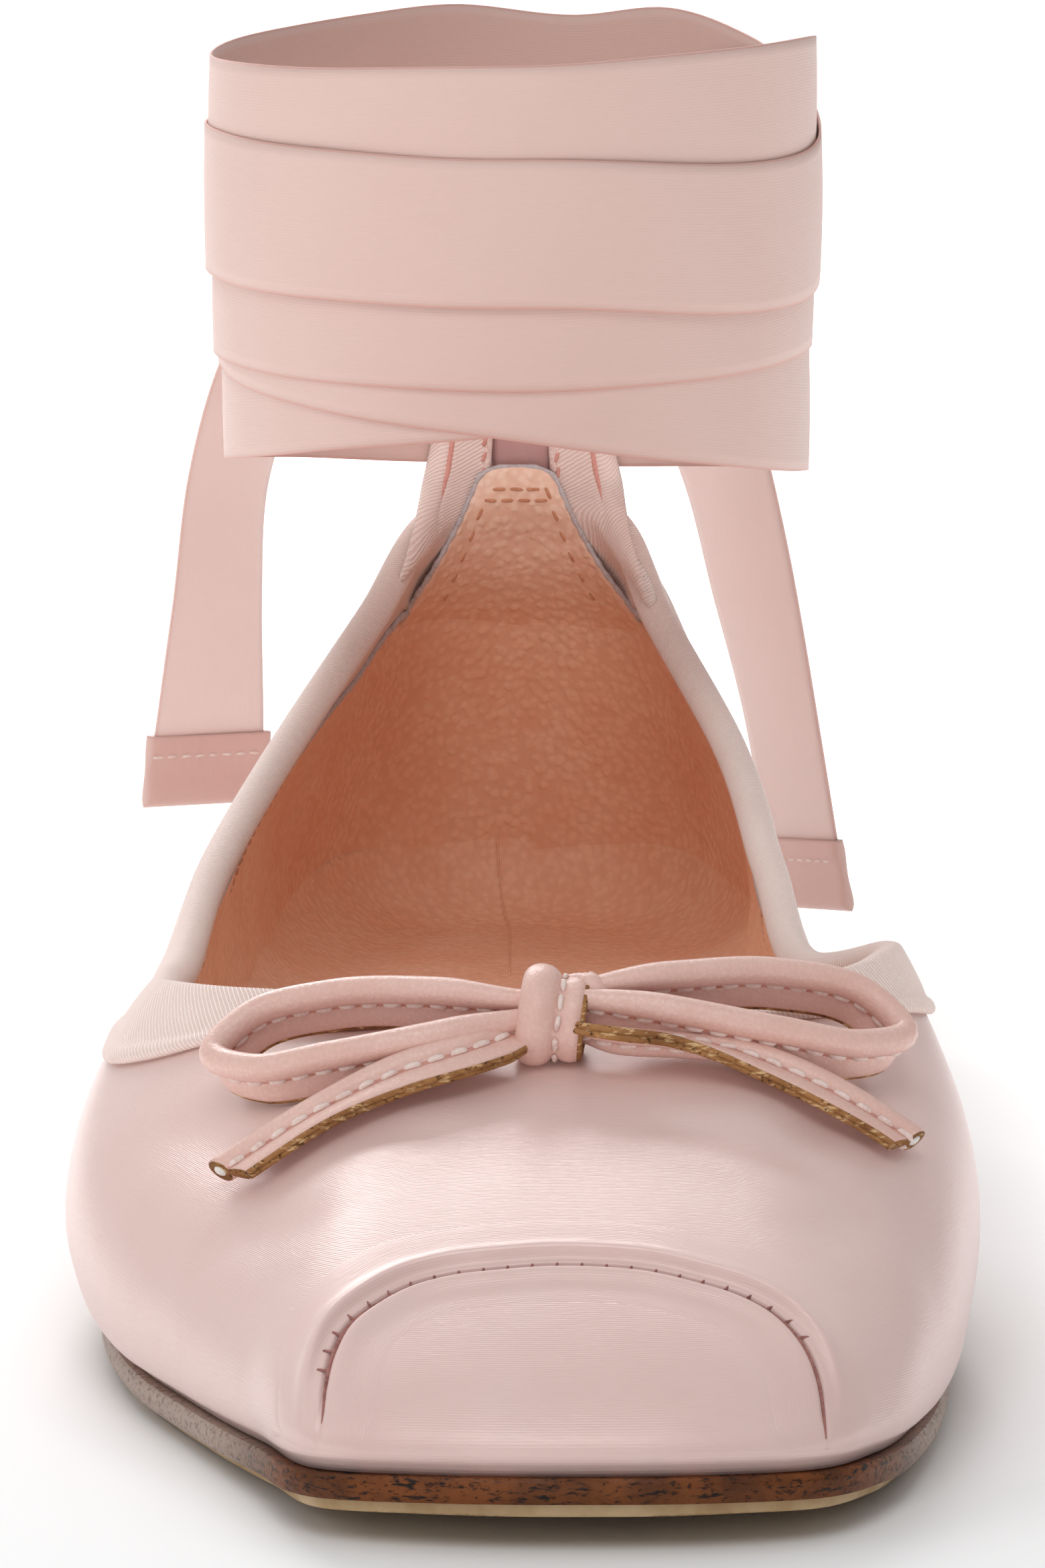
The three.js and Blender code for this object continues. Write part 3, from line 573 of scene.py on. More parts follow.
def grain_group() -> bpy.types.NodeTree:
    """Pebbled leather grain: rounded cells with soft dips between them."""
    values = {"Vector": None, "Scale": 900.0, "Uneven": 0.3}
    tree, start, end = shared_group("leather_grain", values, ("Height", "Dips"))
    vector, scale, uneven = start.outputs[:3]
    bend = tree.node("ShaderNodeTexNoise", {"Vector": vector, "Scale": scale, "Detail": 3.0})
    push = tree.node("ShaderNodeVectorMath", {0: bend.outputs[1], 3: 0.0005}, operation="SCALE").outputs[0]
    moved = tree.node("ShaderNodeVectorMath", {0: vector, 1: push}, operation="ADD").outputs[0]
    inputs = {"Vector": moved, "Scale": scale, "Smoothness": 0.5}
    cells = tree.node("ShaderNodeTexVoronoi", inputs, feature="SMOOTH_F1")
    dips = tree.fade(cells.outputs[0], 0.15, 0.75)
    lumps = tree.times(bend.outputs[0], uneven)
    height = tree.plus(tree.math("SUBTRACT", 1.0, dips), lumps)
    tree.feed(end.inputs[0], height)
    tree.feed(end.inputs[1], dips)
    return tree.tree


@dataclass
class SharedEffects:
    """The node groups that several finishes use."""

    threads: bpy.types.NodeTree = field(default_factory=thread_group)
    mottle: bpy.types.NodeTree = field(default_factory=mottle_group)
    grain: bpy.types.NodeTree = field(default_factory=grain_group)


def start_material(
    name: str, **sockets: object,
) -> tuple[bpy.types.Material, Tree, bpy.types.Node, dict[str, Socket]]:
    """Starts a material.

    Args:
        name: the material's name.
        sockets: uniform values of the shader, with _ for the spaces in their names.

    Returns:
        The material, its tree, its shader and its texture coordinates by name.
    """
    material = bpy.data.materials.new(name)
    material.use_nodes = True
    tree = Tree(material.node_tree)
    shader = material.node_tree.nodes["Principled BSDF"]
    for key, value in sockets.items():
        shader.inputs[key.replace("_", " ")].default_value = value
    return material, tree, shader, tree.node("ShaderNodeTexCoord").outputs


def paint(
    tree: Tree, shader: bpy.types.Node, colour: Socket, rough: Socket, height: Socket, depth: float,
) -> None:
    """Feeds what varies over a surface into its shader.

    Args:
        tree: the material's tree.
        shader: its shader.
        colour: the base colour.
        rough: the roughness.
        height: the fine relief.
        depth: the relief's depth in mm.
    """
    relief = tree.node("ShaderNodeBump", {"Height": height, "Distance": depth * MM, "Strength": 1.0})
    tree.feed(shader.inputs["Base Color"], colour)
    tree.feed(shader.inputs["Roughness"], rough)
    tree.feed(shader.inputs["Normal"], relief.outputs[0])


@dataclass(frozen=True)
class SatinFinish:
    """Pale satin with fine floats, a soft sheen, glints painted into its colour and a little unevenness in
    its dye.
    """

    name: str
    light: Colour
    deep: Colour
    edge: Colour | None = None
    width: float = 15.3
    pitch: float = 0.26
    roughness: float = 0.42
    sheen: float = 0.25
    depth: float = 0.03
    gloss: float = 0.5
    uneven: float = 0.35
    metal: float = 0.0
    through: float = 0.0

    def make(self, shared: SharedEffects) -> bpy.types.Material:
        """Builds the material.

        Args:
            shared: the shared node groups.

        Returns:
            The material.
        """
        material, tree, shader, coord = start_material(
            self.name, Sheen_Weight=self.sheen, Sheen_Roughness=0.35, Sheen_Tint=(1.0, 0.93, 0.9, 1.0),
            Specular_IOR_Level=self.gloss, Metallic=self.metal,
            Subsurface_Weight=self.through, Subsurface_Scale=0.003, Subsurface_Radius=(1.0, 0.7, 0.65),
        )
        threads = tree.group(shared.threads, Vector=coord["UV"], Pitch=self.pitch, Float=1.8)
        mottle = tree.group(shared.mottle, Vector=coord["Object"], Scale=60.0, Contrast=self.uneven)
        colour = tree.blend(mottle.outputs[0], self.light, self.deep)
        fine = tree.fade(threads.outputs[0], 0.2, 0.9, 0.0, 0.11)
        colour = tree.blend(fine, colour, self.deep)
        # painted glints: a paler colour where the specks lie, standing in for light glinting off the fibres
        painted_glint = tuple(min(1.0, c * 1.12) for c in self.light)
        colour = tree.blend(tree.times(threads.outputs[1], 0.14), colour, painted_glint)
        if self.edge is not None:
            across = tree.parts(coord["UV"])[1]
            far = tree.math("ABSOLUTE", tree.math("SUBTRACT", across, self.width / 2))
            rim = tree.fade(far, self.width / 2 - 0.35, self.width / 2 - 0.05, 0.0, 0.6)
            colour = tree.blend(rim, colour, self.edge)
        rough = tree.fade(threads.outputs[0], 0.2, 0.9, self.roughness - 0.06, self.roughness + 0.09)
        paint(tree, shader, colour, rough, threads.outputs[0], self.depth)
        return material


@dataclass(frozen=True)
class GrosgrainFinish:
    """Ribbed tape: close cords across its length, paler on their backs."""

    name: str
    light: Colour
    groove: Colour
    pitch: float = 0.42
    slant: float = 0.55
    depth: float = 0.09

    def make(self, shared: SharedEffects) -> bpy.types.Material:
        """Builds the material.

        Args:
            shared: the shared node groups.

        Returns:
            The material.
        """
        material, tree, shader, coord = start_material(
            self.name, Sheen_Weight=0.2, Sheen_Roughness=0.5, Sheen_Tint=(1.0, 0.95, 0.92, 1.0),
            Specular_IOR_Level=0.35,
        )
        parts = tree.parts(coord["UV"])
        wobble = tree.times(tree.noise(tree.stretch(coord["UV"], (0.9, 1.6, 1.0)), 1.0), 0.22)
        along = tree.plus(parts[0], tree.times(parts[1], self.slant))
        phase = tree.times(tree.plus(along, wobble), 2 * math.pi / self.pitch)
        cords = tree.fade(tree.math("SINE", phase), -1.0, 0.7)
        twist = tree.noise(tree.stretch(coord["UV"], (5.0, 7.0, 1.0)), 1.0, 2.0)
        mottle = tree.group(shared.mottle, Vector=coord["Object"], Scale=110.0, Contrast=1.0)
        pale = tree.blend(tree.times(mottle.outputs[0], 0.35), self.light, self.groove)
        share = tree.fade(tree.plus(cords, tree.times(twist, 0.4)), 0.1, 1.0, 0.0, 0.95)
        height = tree.plus(cords, tree.times(twist, 0.35))
        rough = tree.fade(cords, 0.0, 1.0, 0.78, 0.6)
        paint(tree, shader, tree.blend(share, self.groove, pale), rough, height, self.depth)
        return material


@dataclass(frozen=True)
class LeatherFinish:
    """Leather with a pebbled grain, darker in its creases and uneven in tone, with the option of painted
    light that pales it towards the top.
    """

    name: str
    light: Colour
    deep: Colour
    crease: Colour
    grain: float = 900.0
    depth: float = 0.08
    roughness: float = 0.5
    coat: float = 0.0
    wrinkle: float = 0.0
    # a paler colour painted in with height as light falling on the top, and the heights in mm where it begins
    # and is full
    painted_top_light: Colour | None = None
    painted_top_light_from: float = 40.0
    painted_top_light_to: float = 62.0

    def make(self, shared: SharedEffects) -> bpy.types.Material:
        """Builds the material.

        Args:
            shared: the shared node groups.

        Returns:
            The material.
        """
        material, tree, shader, coord = start_material(
            self.name, Specular_IOR_Level=0.42, Coat_Weight=self.coat, Coat_Roughness=0.32,
        )
        grain = tree.group(shared.grain, Vector=coord["Object"], Scale=self.grain, Uneven=0.5)
        mottle = tree.group(shared.mottle, Vector=coord["Object"], Scale=90.0, Contrast=1.3)
        colour = tree.blend(mottle.outputs[0], self.light, self.deep)
        # painted light: the colour pales with height, as if the top were better lit
        if self.painted_top_light is not None:
            level = tree.parts(coord["Object"])[2]
            painted_light = tree.fade(level, self.painted_top_light_from * MM, self.painted_top_light_to * MM, 0.0, 0.85)
            colour = tree.blend(painted_light, colour, self.painted_top_light)
        colour = tree.blend(tree.times(grain.outputs[1], 0.35), colour, self.crease)
        rough = tree.fade(grain.outputs[0], 0.2, 1.2, self.roughness + 0.14, self.roughness - 0.05)
        height = grain.outputs[0]
        if self.wrinkle:
            folds = tree.noise(tree.stretch(coord["UV"], (1.1, 0.22, 1.0)), 1.0, 3.0, 0.6)
            height = tree.plus(height, tree.times(folds, self.wrinkle))
        paint(tree, shader, colour, rough, height, self.depth)
        return material


@dataclass(frozen=True)
class RawEdgeFinish:
    """A cut edge of bonded layers: speckled fibres in several browns, with, when asked, sides painted paler
    as a reflection.
    """

    name: str
    light: Colour
    deep: Colour
    fleck: Colour
    scale: float = 1800.0
    roughness: float = 0.85
    coat: float = 0.0
    depth: float = 0.1
    # a paler grey painted on the sides as the reflection that grazing light gives them, and the places along
    # the shoe in mm where it begins and is full
    side: Colour | None = None
    painted_reflection_from: float = -66.0
    painted_reflection_to: float = -40.0

    def make(self, shared: SharedEffects) -> bpy.types.Material:
        """Builds the material.

        Args:
            shared: the shared node groups.

        Returns:
            The material.
        """
        material, tree, shader, coord = start_material(
            self.name, Specular_IOR_Level=0.22, Coat_Weight=self.coat, Coat_Roughness=0.28,
        )
        specks = tree.noise(tree.stretch(coord["Object"], (1.0, 1.0, 1.4)), self.scale, 3.0, 0.65)
        fibre = tree.noise(tree.stretch(coord["Object"], (0.6, 0.6, 2.2)), self.scale * 0.6, 2.0, 0.7)
        mottle = tree.group(shared.mottle, Vector=coord["Object"], Scale=160.0, Contrast=1.4)
        colour = tree.blend(mottle.outputs[0], self.light, self.deep)
        colour = tree.blend(tree.fade(fibre, 0.52, 0.68), colour, self.fleck)
        dark = (*(c * 0.22 for c in self.deep[:3]), 1.0)
        colour = tree.blend(tree.fade(specks, 0.57, 0.66, 0.0, 0.85), colour, dark)
        # painted reflection: paler grey away from the toe, with the dark specks still showing through
        if self.side is not None:
            place = tree.parts(coord["Object"])[1]
            painted_light = tree.fade(place, self.painted_reflection_from * MM, self.painted_reflection_to * MM, 0.0, 0.85)
            painted_light = tree.times(painted_light, tree.fade(specks, 0.5, 0.66, 1.0, 0.55))
            colour = tree.blend(painted_light, colour, self.side)
        rough = tree.fade(specks, 0.3, 0.7, self.roughness - 0.1, self.roughness + 0.1)
        paint(tree, shader, colour, rough, tree.plus(specks, fibre), self.depth)
        return material


@dataclass(frozen=True)
class TreadFinish:
    """Pale crepe rubber with a fine diamond pattern on its underside."""

    name: str
    light: Colour
    deep: Colour
    pitch: float = 2.2
    depth: float = 0.25

    def make(self, shared: SharedEffects) -> bpy.types.Material:
        """Builds the material.

        Args:
            shared: the shared node groups.

        Returns:
            The material.
        """
        material, tree, shader, coord = start_material(self.name, Specular_IOR_Level=0.35)
        parts = tree.parts(coord["Object"])
        turn = 2 * math.pi / (self.pitch * MM)
        both = tree.plus(parts[0], parts[1]), tree.math("SUBTRACT", parts[0], parts[1])
        waves = [tree.math("SINE", tree.times(way, turn)) for way in both]
        lines = tree.fade(tree.math("MAXIMUM", waves[0], waves[1]), 0.55, 0.95)
        facing = tree.parts(tree.node("ShaderNodeNewGeometry").outputs["Normal"])[2]
        lines = tree.times(lines, tree.fade(facing, -0.5, -0.85))
        mottle = tree.group(shared.mottle, Vector=coord["Object"], Scale=120.0, Contrast=1.2)
        colour = tree.blend(mottle.outputs[0], self.light, self.deep)
        colour = tree.blend(tree.times(lines, 0.55), colour, self.deep)
        rough = tree.fade(mottle.outputs[0], 0.0, 1.0, 0.62, 0.78)
        paint(tree, shader, colour, rough, tree.math("SUBTRACT", 1.0, lines), self.depth)
        return material


@dataclass(frozen=True)
class ThreadFinish:
    """Twisted sewing thread."""

    name: str
    light: Colour
    deep: Colour
    depth: float = 0.05

    def make(self, shared: SharedEffects) -> bpy.types.Material:
        """Builds the material.

        Args:
            shared: the shared node groups.

        Returns:
            The material.
        """
        material, tree, shader, coord = start_material(self.name, Sheen_Weight=0.2, Specular_IOR_Level=0.35)
        twist = tree.noise(tree.stretch(coord["Object"], (1.0, 0.8, 1.2)), 2600.0, 2.0)
        mottle = tree.group(shared.mottle, Vector=coord["Object"], Scale=400.0, Contrast=1.0)
        share = tree.times(mottle.outputs[0], tree.fade(twist, 0.3, 0.7))
        rough = tree.fade(twist, 0.3, 0.7, 0.5, 0.75)
        paint(tree, shader, tree.blend(share, self.light, self.deep), rough, twist, self.depth)
        return material


UPPER_SATIN = SatinFinish(
    "satin", linear(231, 203, 197), linear(224, 190, 184),
    roughness=0.35, sheen=0.16, metal=0.06, depth=0.02, uneven=0.55,
)
WOUND_RIBBON = SatinFinish(
    "ribbon", linear(226, 198, 190), linear(219, 187, 178), edge=linear(222, 162, 150),
    pitch=0.3, roughness=0.55, sheen=0.15, depth=0.02, gloss=0.3, uneven=0.22,
)


class Finish(Enum):
    """The finishes of this shoe."""

    SATIN = UPPER_SATIN
    SEAM_SATIN = replace(UPPER_SATIN, name="seam_satin")
    RIBBON = WOUND_RIBBON
    RIBBON_TAIL = replace(
        WOUND_RIBBON, name="ribbon_tail", light=linear(219, 194, 188), deep=linear(212, 184, 177),
        edge=linear(218, 164, 154), through=0.3,
    )
    RIBBON_TIP = SatinFinish(
        "ribbon_tip", linear(224, 190, 180), linear(212, 172, 163), pitch=0.34, roughness=0.55,
    )
    GROSGRAIN = GrosgrainFinish("grosgrain", linear(251, 234, 226), linear(238, 208, 199), pitch=0.46)
    LOOP_TAPE = GrosgrainFinish(
        "loop_tape", linear(243, 221, 213), linear(229, 196, 187), pitch=0.36, slant=0.05,
    )
    # painted paler towards its top as light from above
    LINING = LeatherFinish(
        "lining_leather", linear(253, 208, 178), linear(247, 193, 160), linear(226, 164, 131),
        grain=1000.0, depth=0.11, roughness=0.5, painted_top_light=linear(254, 226, 206),
    )
    BOW_LEATHER = LeatherFinish(
        "bow_leather", linear(233, 195, 184), linear(227, 185, 173), linear(214, 170, 157),
        grain=2600.0, depth=0.02, roughness=0.36, coat=0.15, wrinkle=1.6,
    )
    RAW_EDGE = RawEdgeFinish("raw_edge", linear(172, 124, 78), linear(128, 84, 50), linear(214, 178, 132))
    # dark brown at the toe, its sides painted paler grey as a reflection
    SOLE_EDGE = RawEdgeFinish(
        "sole_edge", linear(122, 66, 26), linear(84, 44, 16), linear(24, 12, 6),
        scale=1700.0, roughness=0.6, coat=0.1, side=linear(184, 166, 154),
    )
    TREAD = TreadFinish("tread_rubber", linear(214, 186, 146), linear(178, 144, 102))
    THREAD = ThreadFinish("sewing_thread", linear(238, 218, 210), linear(214, 178, 168))
    DARK_THREAD = ThreadFinish("seam_thread", linear(168, 112, 104), linear(120, 70, 66))
    GREY_THREAD = ThreadFinish("edge_thread", linear(204, 198, 200), linear(172, 162, 164))
    LINING_THREAD = ThreadFinish("lining_thread", linear(216, 156, 122), linear(192, 128, 96))
    # darker leather colour: painted shade in the bow's stitch grooves
    GROOVE = ThreadFinish("stitch_groove_shade", linear(206, 148, 134), linear(176, 114, 102))
    # dark red: painted shade for the lines along the heel loop's folds, and the thread of the loop's stitches
    FOLD = ThreadFinish("tape_fold_shade_and_thread", linear(224, 164, 152), linear(196, 128, 118))
    # darker mauve satin: painted shade for the middle of the heel loop's inside
    RECESS = SatinFinish("loop_painted_shade", linear(206, 164, 160), linear(190, 144, 142), roughness=0.6)
    CORE = ThreadFinish("cord_core", linear(232, 228, 222), linear(196, 190, 184))


@dataclass
class Wardrobe:
    """Keeps each finish's material, made when it is first asked for."""

    shared: SharedEffects = field(default_factory=SharedEffects)
    made: dict[Finish, bpy.types.Material] = field(default_factory=dict)

    def dress(self, piece: Piece, finish: Finish, slot: str, *nodes: str) -> None:
        """Gives a piece its finish, its body and the solids it stands for.

        Args:
            piece: the piece.
            finish: its finish.
            slot: not used.
            nodes: the solids that it replaces.
        """
        if finish not in self.made:
            self.made[finish] = finish.value.make(self.shared)
        piece.data.materials.clear()
        piece.data.materials.append(self.made[finish])
        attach(piece, "root")
        if nodes:
            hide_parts(*nodes)
        LOG.info("%s: %d faces, %s", piece.name, len(piece.data.polygons), finish.value.name)


@dataclass
class ShoePart:
    """What every part of the shoe has: the last that it is built on and the finishes."""

    last: Last
    wardrobe: Wardrobe

    def dress(self, piece: Piece, finish: Finish, slot: str, *nodes: str) -> None:
        """Dresses a piece from this part's wardrobe."""
        self.wardrobe.dress(piece, finish, slot, *nodes)


def spread(path: Array, pitch: float, start: float = 0.0) -> tuple[Array, Array, Array]:
    """Places points at an even pitch along a path.

    Args:
        path: the path's points in mm.
        pitch: the distance between two points.
        start: where the first one lies.

    Returns:
        The points, the path's direction at each, and each one's place in the list of the path's points.
    """
    steps = np.linalg.norm(np.diff(path, axis=0), axis=1)
    far = np.concatenate([[0.0], np.cumsum(steps)])
    where = np.arange(start, far[-1], pitch)
    at, ahead, behind = (
        np.stack([np.interp(where + step, far, path[:, k]) for k in range(3)], axis=-1)
        for step in (0.0, 0.3, -0.3)
    )
    return at, unit(ahead - behind), np.interp(where, far, np.arange(len(path)))


def between(rows: Array, where: Array) -> Array:
    """Reads rows of directions at fractional places."""
    low = np.clip(np.floor(where).astype(int), 0, len(rows) - 2)
    share = (where - low)[:, None]
    return unit(rows[low] * (1 - share) + rows[low + 1] * share)


# distance along the feather line and height up the wall: the line of the toe seam's stitches
SEAM_LINE = np.array([
    (251.6, 0.0), (252.0, 0.07), (252.2, 0.147), (252.2, 0.234), (252.5, 0.321), (253.6, 0.39),
    (255.6, 0.435), (258.45, 0.475), (262.3, 0.5), (266.7, 0.512), (272.0, 0.52), (276.8, 0.518),
    (281.5, 0.508), (285.4, 0.487), (289.7, 0.452), (292.4, 0.407), (294.4, 0.338), (295.3, 0.251),
    (295.5, 0.15), (295.6, 0.07), (295.7, 0.0),
])


@dataclass
class ToeSeam(ShoePart):
    """The raised seam that joins the vamp to the toe cap: a rolled ridge, a flat strip and tick stitches."""

    stations: int = 260
    stitch_pitch: float = 2.1
    tick_length: float = 1.1
    tick_thread: float = 0.26
    line_radius: float = 0.27
    strip: float = 0.2
    cap_reach: float = 5.8
    vamp_reach: float = 8.4
    ridge: float = 1.25
    ridge_at: float = 1.9
    ridge_widths: tuple[float, float] = (1.15, 0.66)
    roll: float = 0.7
    roll_at: float = -0.9
    roll_widths: tuple[float, float] = (0.5, 1.3)
    groove: float = 0.7
    groove_width: float = 0.28

    def places(self, count: int) -> tuple[Array, Array]:
        """Where the seam runs on the upper, at even distances.

        Args:
            count: how many places.

        Returns:
            The places along the feather line and the heights up the wall.
        """
        rows = np.hstack([self.last.wall(SEAM_LINE[:, 0], SEAM_LINE[:, 1]), SEAM_LINE])
        columns = SmoothCurve(rows, 3).even(count)
        return columns[:, 3], np.clip(columns[:, 4], 0.0, 1.0)

    def line(self) -> tuple[Array, Array, Array]:
        """Runs along the seam.

        Returns:
            The seam's path, the way across it towards the vamp, and the upper's normal.
        """
        along, up = self.places(self.stations)
        path = self.last.wall(along, up)
        normal = self.last.normal(along, up)
        return path, unit(np.cross(normal, unit(np.gradient(path, axis=0)))), normal

    def side_of(self, points: Array) -> Array:
        """How far points lie from the seam, positive on the vamp's side, in mm."""
        path, across, _ = self.line()
        flat = points.reshape(-1, 3)
        result = np.full(len(flat), 99.0)
        near = np.flatnonzero(flat[:, 1] < 0.0)
        for chunk in np.array_split(near, max(1, len(near) // 4000)):
            gap = flat[chunk, None] - path[None]
            far = np.linalg.norm(gap, axis=2)
            nearest = far.argmin(axis=1)
            rows = np.arange(len(chunk))
            sign = np.sign((gap[rows, nearest] * across[nearest]).sum(axis=1))
            result[chunk] = far[rows, nearest] * np.where(sign == 0, 1, sign)
        return result.reshape(points.shape[:-1])

    def profile(self, far: Array, fade: Array) -> Array:
        """The seam's height over the upper.

        Args:
            far: distance across the seam, positive on the vamp's side.
            fade: 1 where the seam is full and 0 where it has died away.

        Returns:
            The height in mm.
        """
        ridge = self.ridge * bell(far - self.ridge_at, np.where(far > self.ridge_at, *self.ridge_widths))
        roll = self.roll * bell(far - self.roll_at, np.where(far > self.roll_at, *self.roll_widths))
        strip = self.strip * ease(far, -0.05, 0.4) * (1 - ease(far, 1.3, 2.0))
        groove = self.groove * bell(far, self.groove_width)
        return fade * (ridge + strip + roll) - (0.25 + 0.75 * fade) * groove

    def build(self) -> None:
        """Builds the seam's strip, its dark line and its tick stitches."""
        path, across, normal = self.line()
        low, high = -self.cap_reach, self.vamp_reach
        spans = ((low, -1.7, 14), (-1.5, 1.6, 32), (1.8, high, 22))
        far = np.concatenate([np.linspace(*span) for span in spans])
        share = np.linspace(0, 1, self.stations)
        fade = (ease(share, 0.02, 0.24) * ease(1 - share, 0.04, 0.26))[:, None]
        flush = ease(far, low, low + 1.6) * (1 - ease(far, high - 2.0, high))
        ends = (ease(share, 0.0, 0.05) * ease(1 - share, 0.0, 0.05))[:, None]
        base, along, up = self.ground(far)
        sunk = 0.02 * (1 - flush) + 0.14 * (1 - ends) - 0.02 * flush * ends
        lift = self.profile(far[None, :], fade) * ends - sunk + drape(self.last, along, up, base)
        points = base + normal[:, None] * lift[..., None]
        strip = thicken(lattice("toe_seam_strip", points), self.strip)
        self.dress(strip, Finish.SEAM_SATIN, "satin", "toe_seam")
        keep = slice(14, self.stations - 9)
        under = (path - normal * 0.06 - across * 0.14)[keep]
        thread, size = circle(self.line_radius, 7), 0.5 + 0.5 * fade[keep, 0]
        line = sweep("toe_seam_line", under, across[keep], normal[keep], thread, size)
        self.dress(line, Finish.DARK_THREAD, "satin")
        keep = slice(34, self.stations - 40)
        at, way, where = spread(path[keep], self.stitch_pitch)
        ups, sides = between(normal[keep], where), between(across[keep], where)
        row = stitches(
            "toe_seam_ticks", at + sides * 0.42 + ups * 0.14, sides + 0.25 * way, ups,
            self.tick_length, self.tick_thread, 11,
        )
        self.dress(row, Finish.DARK_THREAD, "satin")

    def ground(self, far: Array) -> tuple[Array, Array, Array]:
        """Lays points across the seam onto the upper.

        Args:
            far: the distances across it.

        Returns:
            Places on the upper, shape (stations, distances, 3), then along and up for each.
        """
        path, across, _ = self.line()
        target = path[:, None] + across[:, None] * far[None, :, None]
        along, up = (np.repeat(column[:, None], len(far), axis=1) for column in self.places(self.stations))
        for _ in range(14):
            here, by_along, by_up = self.last.slopes(along, up, 0.4)
            miss = target - here
            aa, bb = (by_along**2).sum(-1), (by_up**2).sum(-1)
            ab = (by_along * by_up).sum(-1)
            ma, mb = (miss * by_along).sum(-1), (miss * by_up).sum(-1)
            det = np.maximum(aa * bb - ab * ab, 1e-9)
            along = along + np.clip((ma * bb - mb * ab) / det, -3, 3)
            up = np.clip(up + np.clip((mb * aa - ma * ab) / det, -0.06, 0.06), 0.0, 1.0)
        return self.last.wall(along, up), along, up


@dataclass
class Upper(ShoePart):
    """The satin shell, with the soft troughs of worn cloth over a stiffener, and its leather lining."""

    seam: ToeSeam
    stations: int = 560
    rows: int = 84
    cloth: float = 0.7
    under_seam: float = 0.95
    tuck: float = 0.45
    lining_stations: int = 360
    lining_rows: int = 44
    lining: float = 0.6
    lining_stitches_down: float = 7.2
    seat_start: float = 70.0
    seat_full: float = 110.0
    back_seam_x: float = -2.9
    back_seam_end: float = 198.0
    back_seam_radius: float = 0.11

    def relief(self, along: Array, up: Array, points: Array) -> Array:
        """How far the satin stands off the last.

        Args:
            along: places round the feather line.
            up: heights up the wall.
            points: the places on the last.

        Returns:
            The lift in mm.
        """
        above = points[..., 2] - self.last.feather(self.last.table.at(along)[..., 1])
        across = self.seam.side_of(points)
        drop = self.under_seam * ease(above, 1.0, 4.0) * (1 - ease(np.abs(across - 0.6), 2.4, 4.8))
        return drape(self.last, along, up, points) - drop

    def build(self) -> None:
        """Builds the satin and the lining."""
        length = self.last.table.length
        along = np.linspace(0, length, self.stations + 1)[:, None]
        up = np.linspace(0, 1, self.rows + 1)[None, :]
        along, up = np.broadcast_arrays(along, up)
        base = self.last.wall(along, up)
        points = base + self.last.normal(along, up) * self.relief(along, up, base)[..., None]
        points[:, 0, 2] -= self.tuck
        points[-1] = points[0]
        lengths = measure(points)
        lengths[..., 0] = along
        shell = thicken(lattice("upper_satin", points, lengths, ring=True), self.cloth)
        self.dress(shell, Finish.SATIN, "satin", "upper")
        self.line_inside()

    def line_inside(self) -> None:
        """Builds the leather lining and the row of stitches under the collar."""
        length = self.last.table.length
        along = np.linspace(0, length, self.lining_stations + 1)[:, None]
        up = np.linspace(0.995, 0.02, self.lining_rows + 1)[None, :]
        along, up = np.broadcast_arrays(along, up)
        slack = 0.25 * np.sin(along / 13.0) * np.sin(up * 9.0) + 0.18 * np.sin(along / 5.7 + up * 13.0)
        low = 1 - ease(up, 0.85, 1.0)
        points = self.last.offset(along, up, -self.last.wall_thickness - 0.1 + low * slack)
        points[-1] = points[0]
        skin = thicken(lattice("lining", points, ring=True), self.lining)
        self.dress(skin, Finish.LINING, "lining_leather")
        ring = np.linspace(0, length, 900)
        rise = np.linalg.norm(self.last.wall(ring, 1.0) - self.last.wall(ring, 0.98), axis=1) / 0.02
        high = 1 - self.lining_stitches_down / rise
        path = self.last.offset(ring, high, -self.last.wall_thickness - 0.12)
        at, way, where = spread(path, 2.5)
        ups = between(-self.last.normal(ring, high), where)
        row = stitches("lining_stitches", at, way, ups, 1.7, 0.42, 21)
        self.dress(row, Finish.LINING_THREAD, "lining_leather")
        self.seat()

    def seat(self) -> None:
        """Rounds the lining into the insole behind the foot and closes its back seam."""
        spots = np.linspace(-0.5, 0.5, 1200) * self.last.table.length
        spots = spots[self.last.table.at(spots)[:, 1] > self.seat_start][::3]
        foot = self.last.table.at(spots)
        out, wall, origin = self.last.outward(spots)[:, :2], self.last.wall_thickness, self.last.toe_to_origin
        top = self.last.feather(foot[:, 1]) + self.last.insole
        full = ease(foot[:, 1], self.seat_start, self.seat_full)
        high = self.last.offset(spots, 0.05 + 0.19 * full, -wall + 0.35)
        corner, low = (
            np.column_stack([foot[:, :2] - out * (wall + reach)[:, None] - (0.0, origin), top + lift])
            for reach, lift in ((0.6 + 0 * full, 0.25), (1.0 + 8.0 * full, -0.12))
        )
        t = np.linspace(0, 1, 13)[None, :, None]
        points = (1 - t) ** 2 * high[:, None] + 2 * t * (1 - t) * corner[:, None] + t**2 * low[:, None]
        fill = thicken(lattice("lining_seat", points), 0.3)
        self.dress(fill, Finish.LINING, "lining_leather")
        here = int(np.abs(foot[:, 0] - self.back_seam_x).argmin())
        back = np.linspace(foot[here, 1] - wall - 9.5, self.back_seam_end, 12)
        level = self.last.feather(back) + self.last.insole + 0.1
        floor = np.column_stack([np.full(len(back), low[here, 0]), back - origin, level])
        path = np.vstack([points[here] + (0.0, -0.12, 0.12), floor])
        ways = unit(np.gradient(path, axis=0))
        side = same((1.0, 0.0, 0.0), len(path))
        round_ = circle(self.back_seam_radius, 7)
        line = sweep("lining_back_seam", path, side, unit(np.cross(side, ways)), round_)
        self.dress(line, Finish.LINING, "lining_leather")


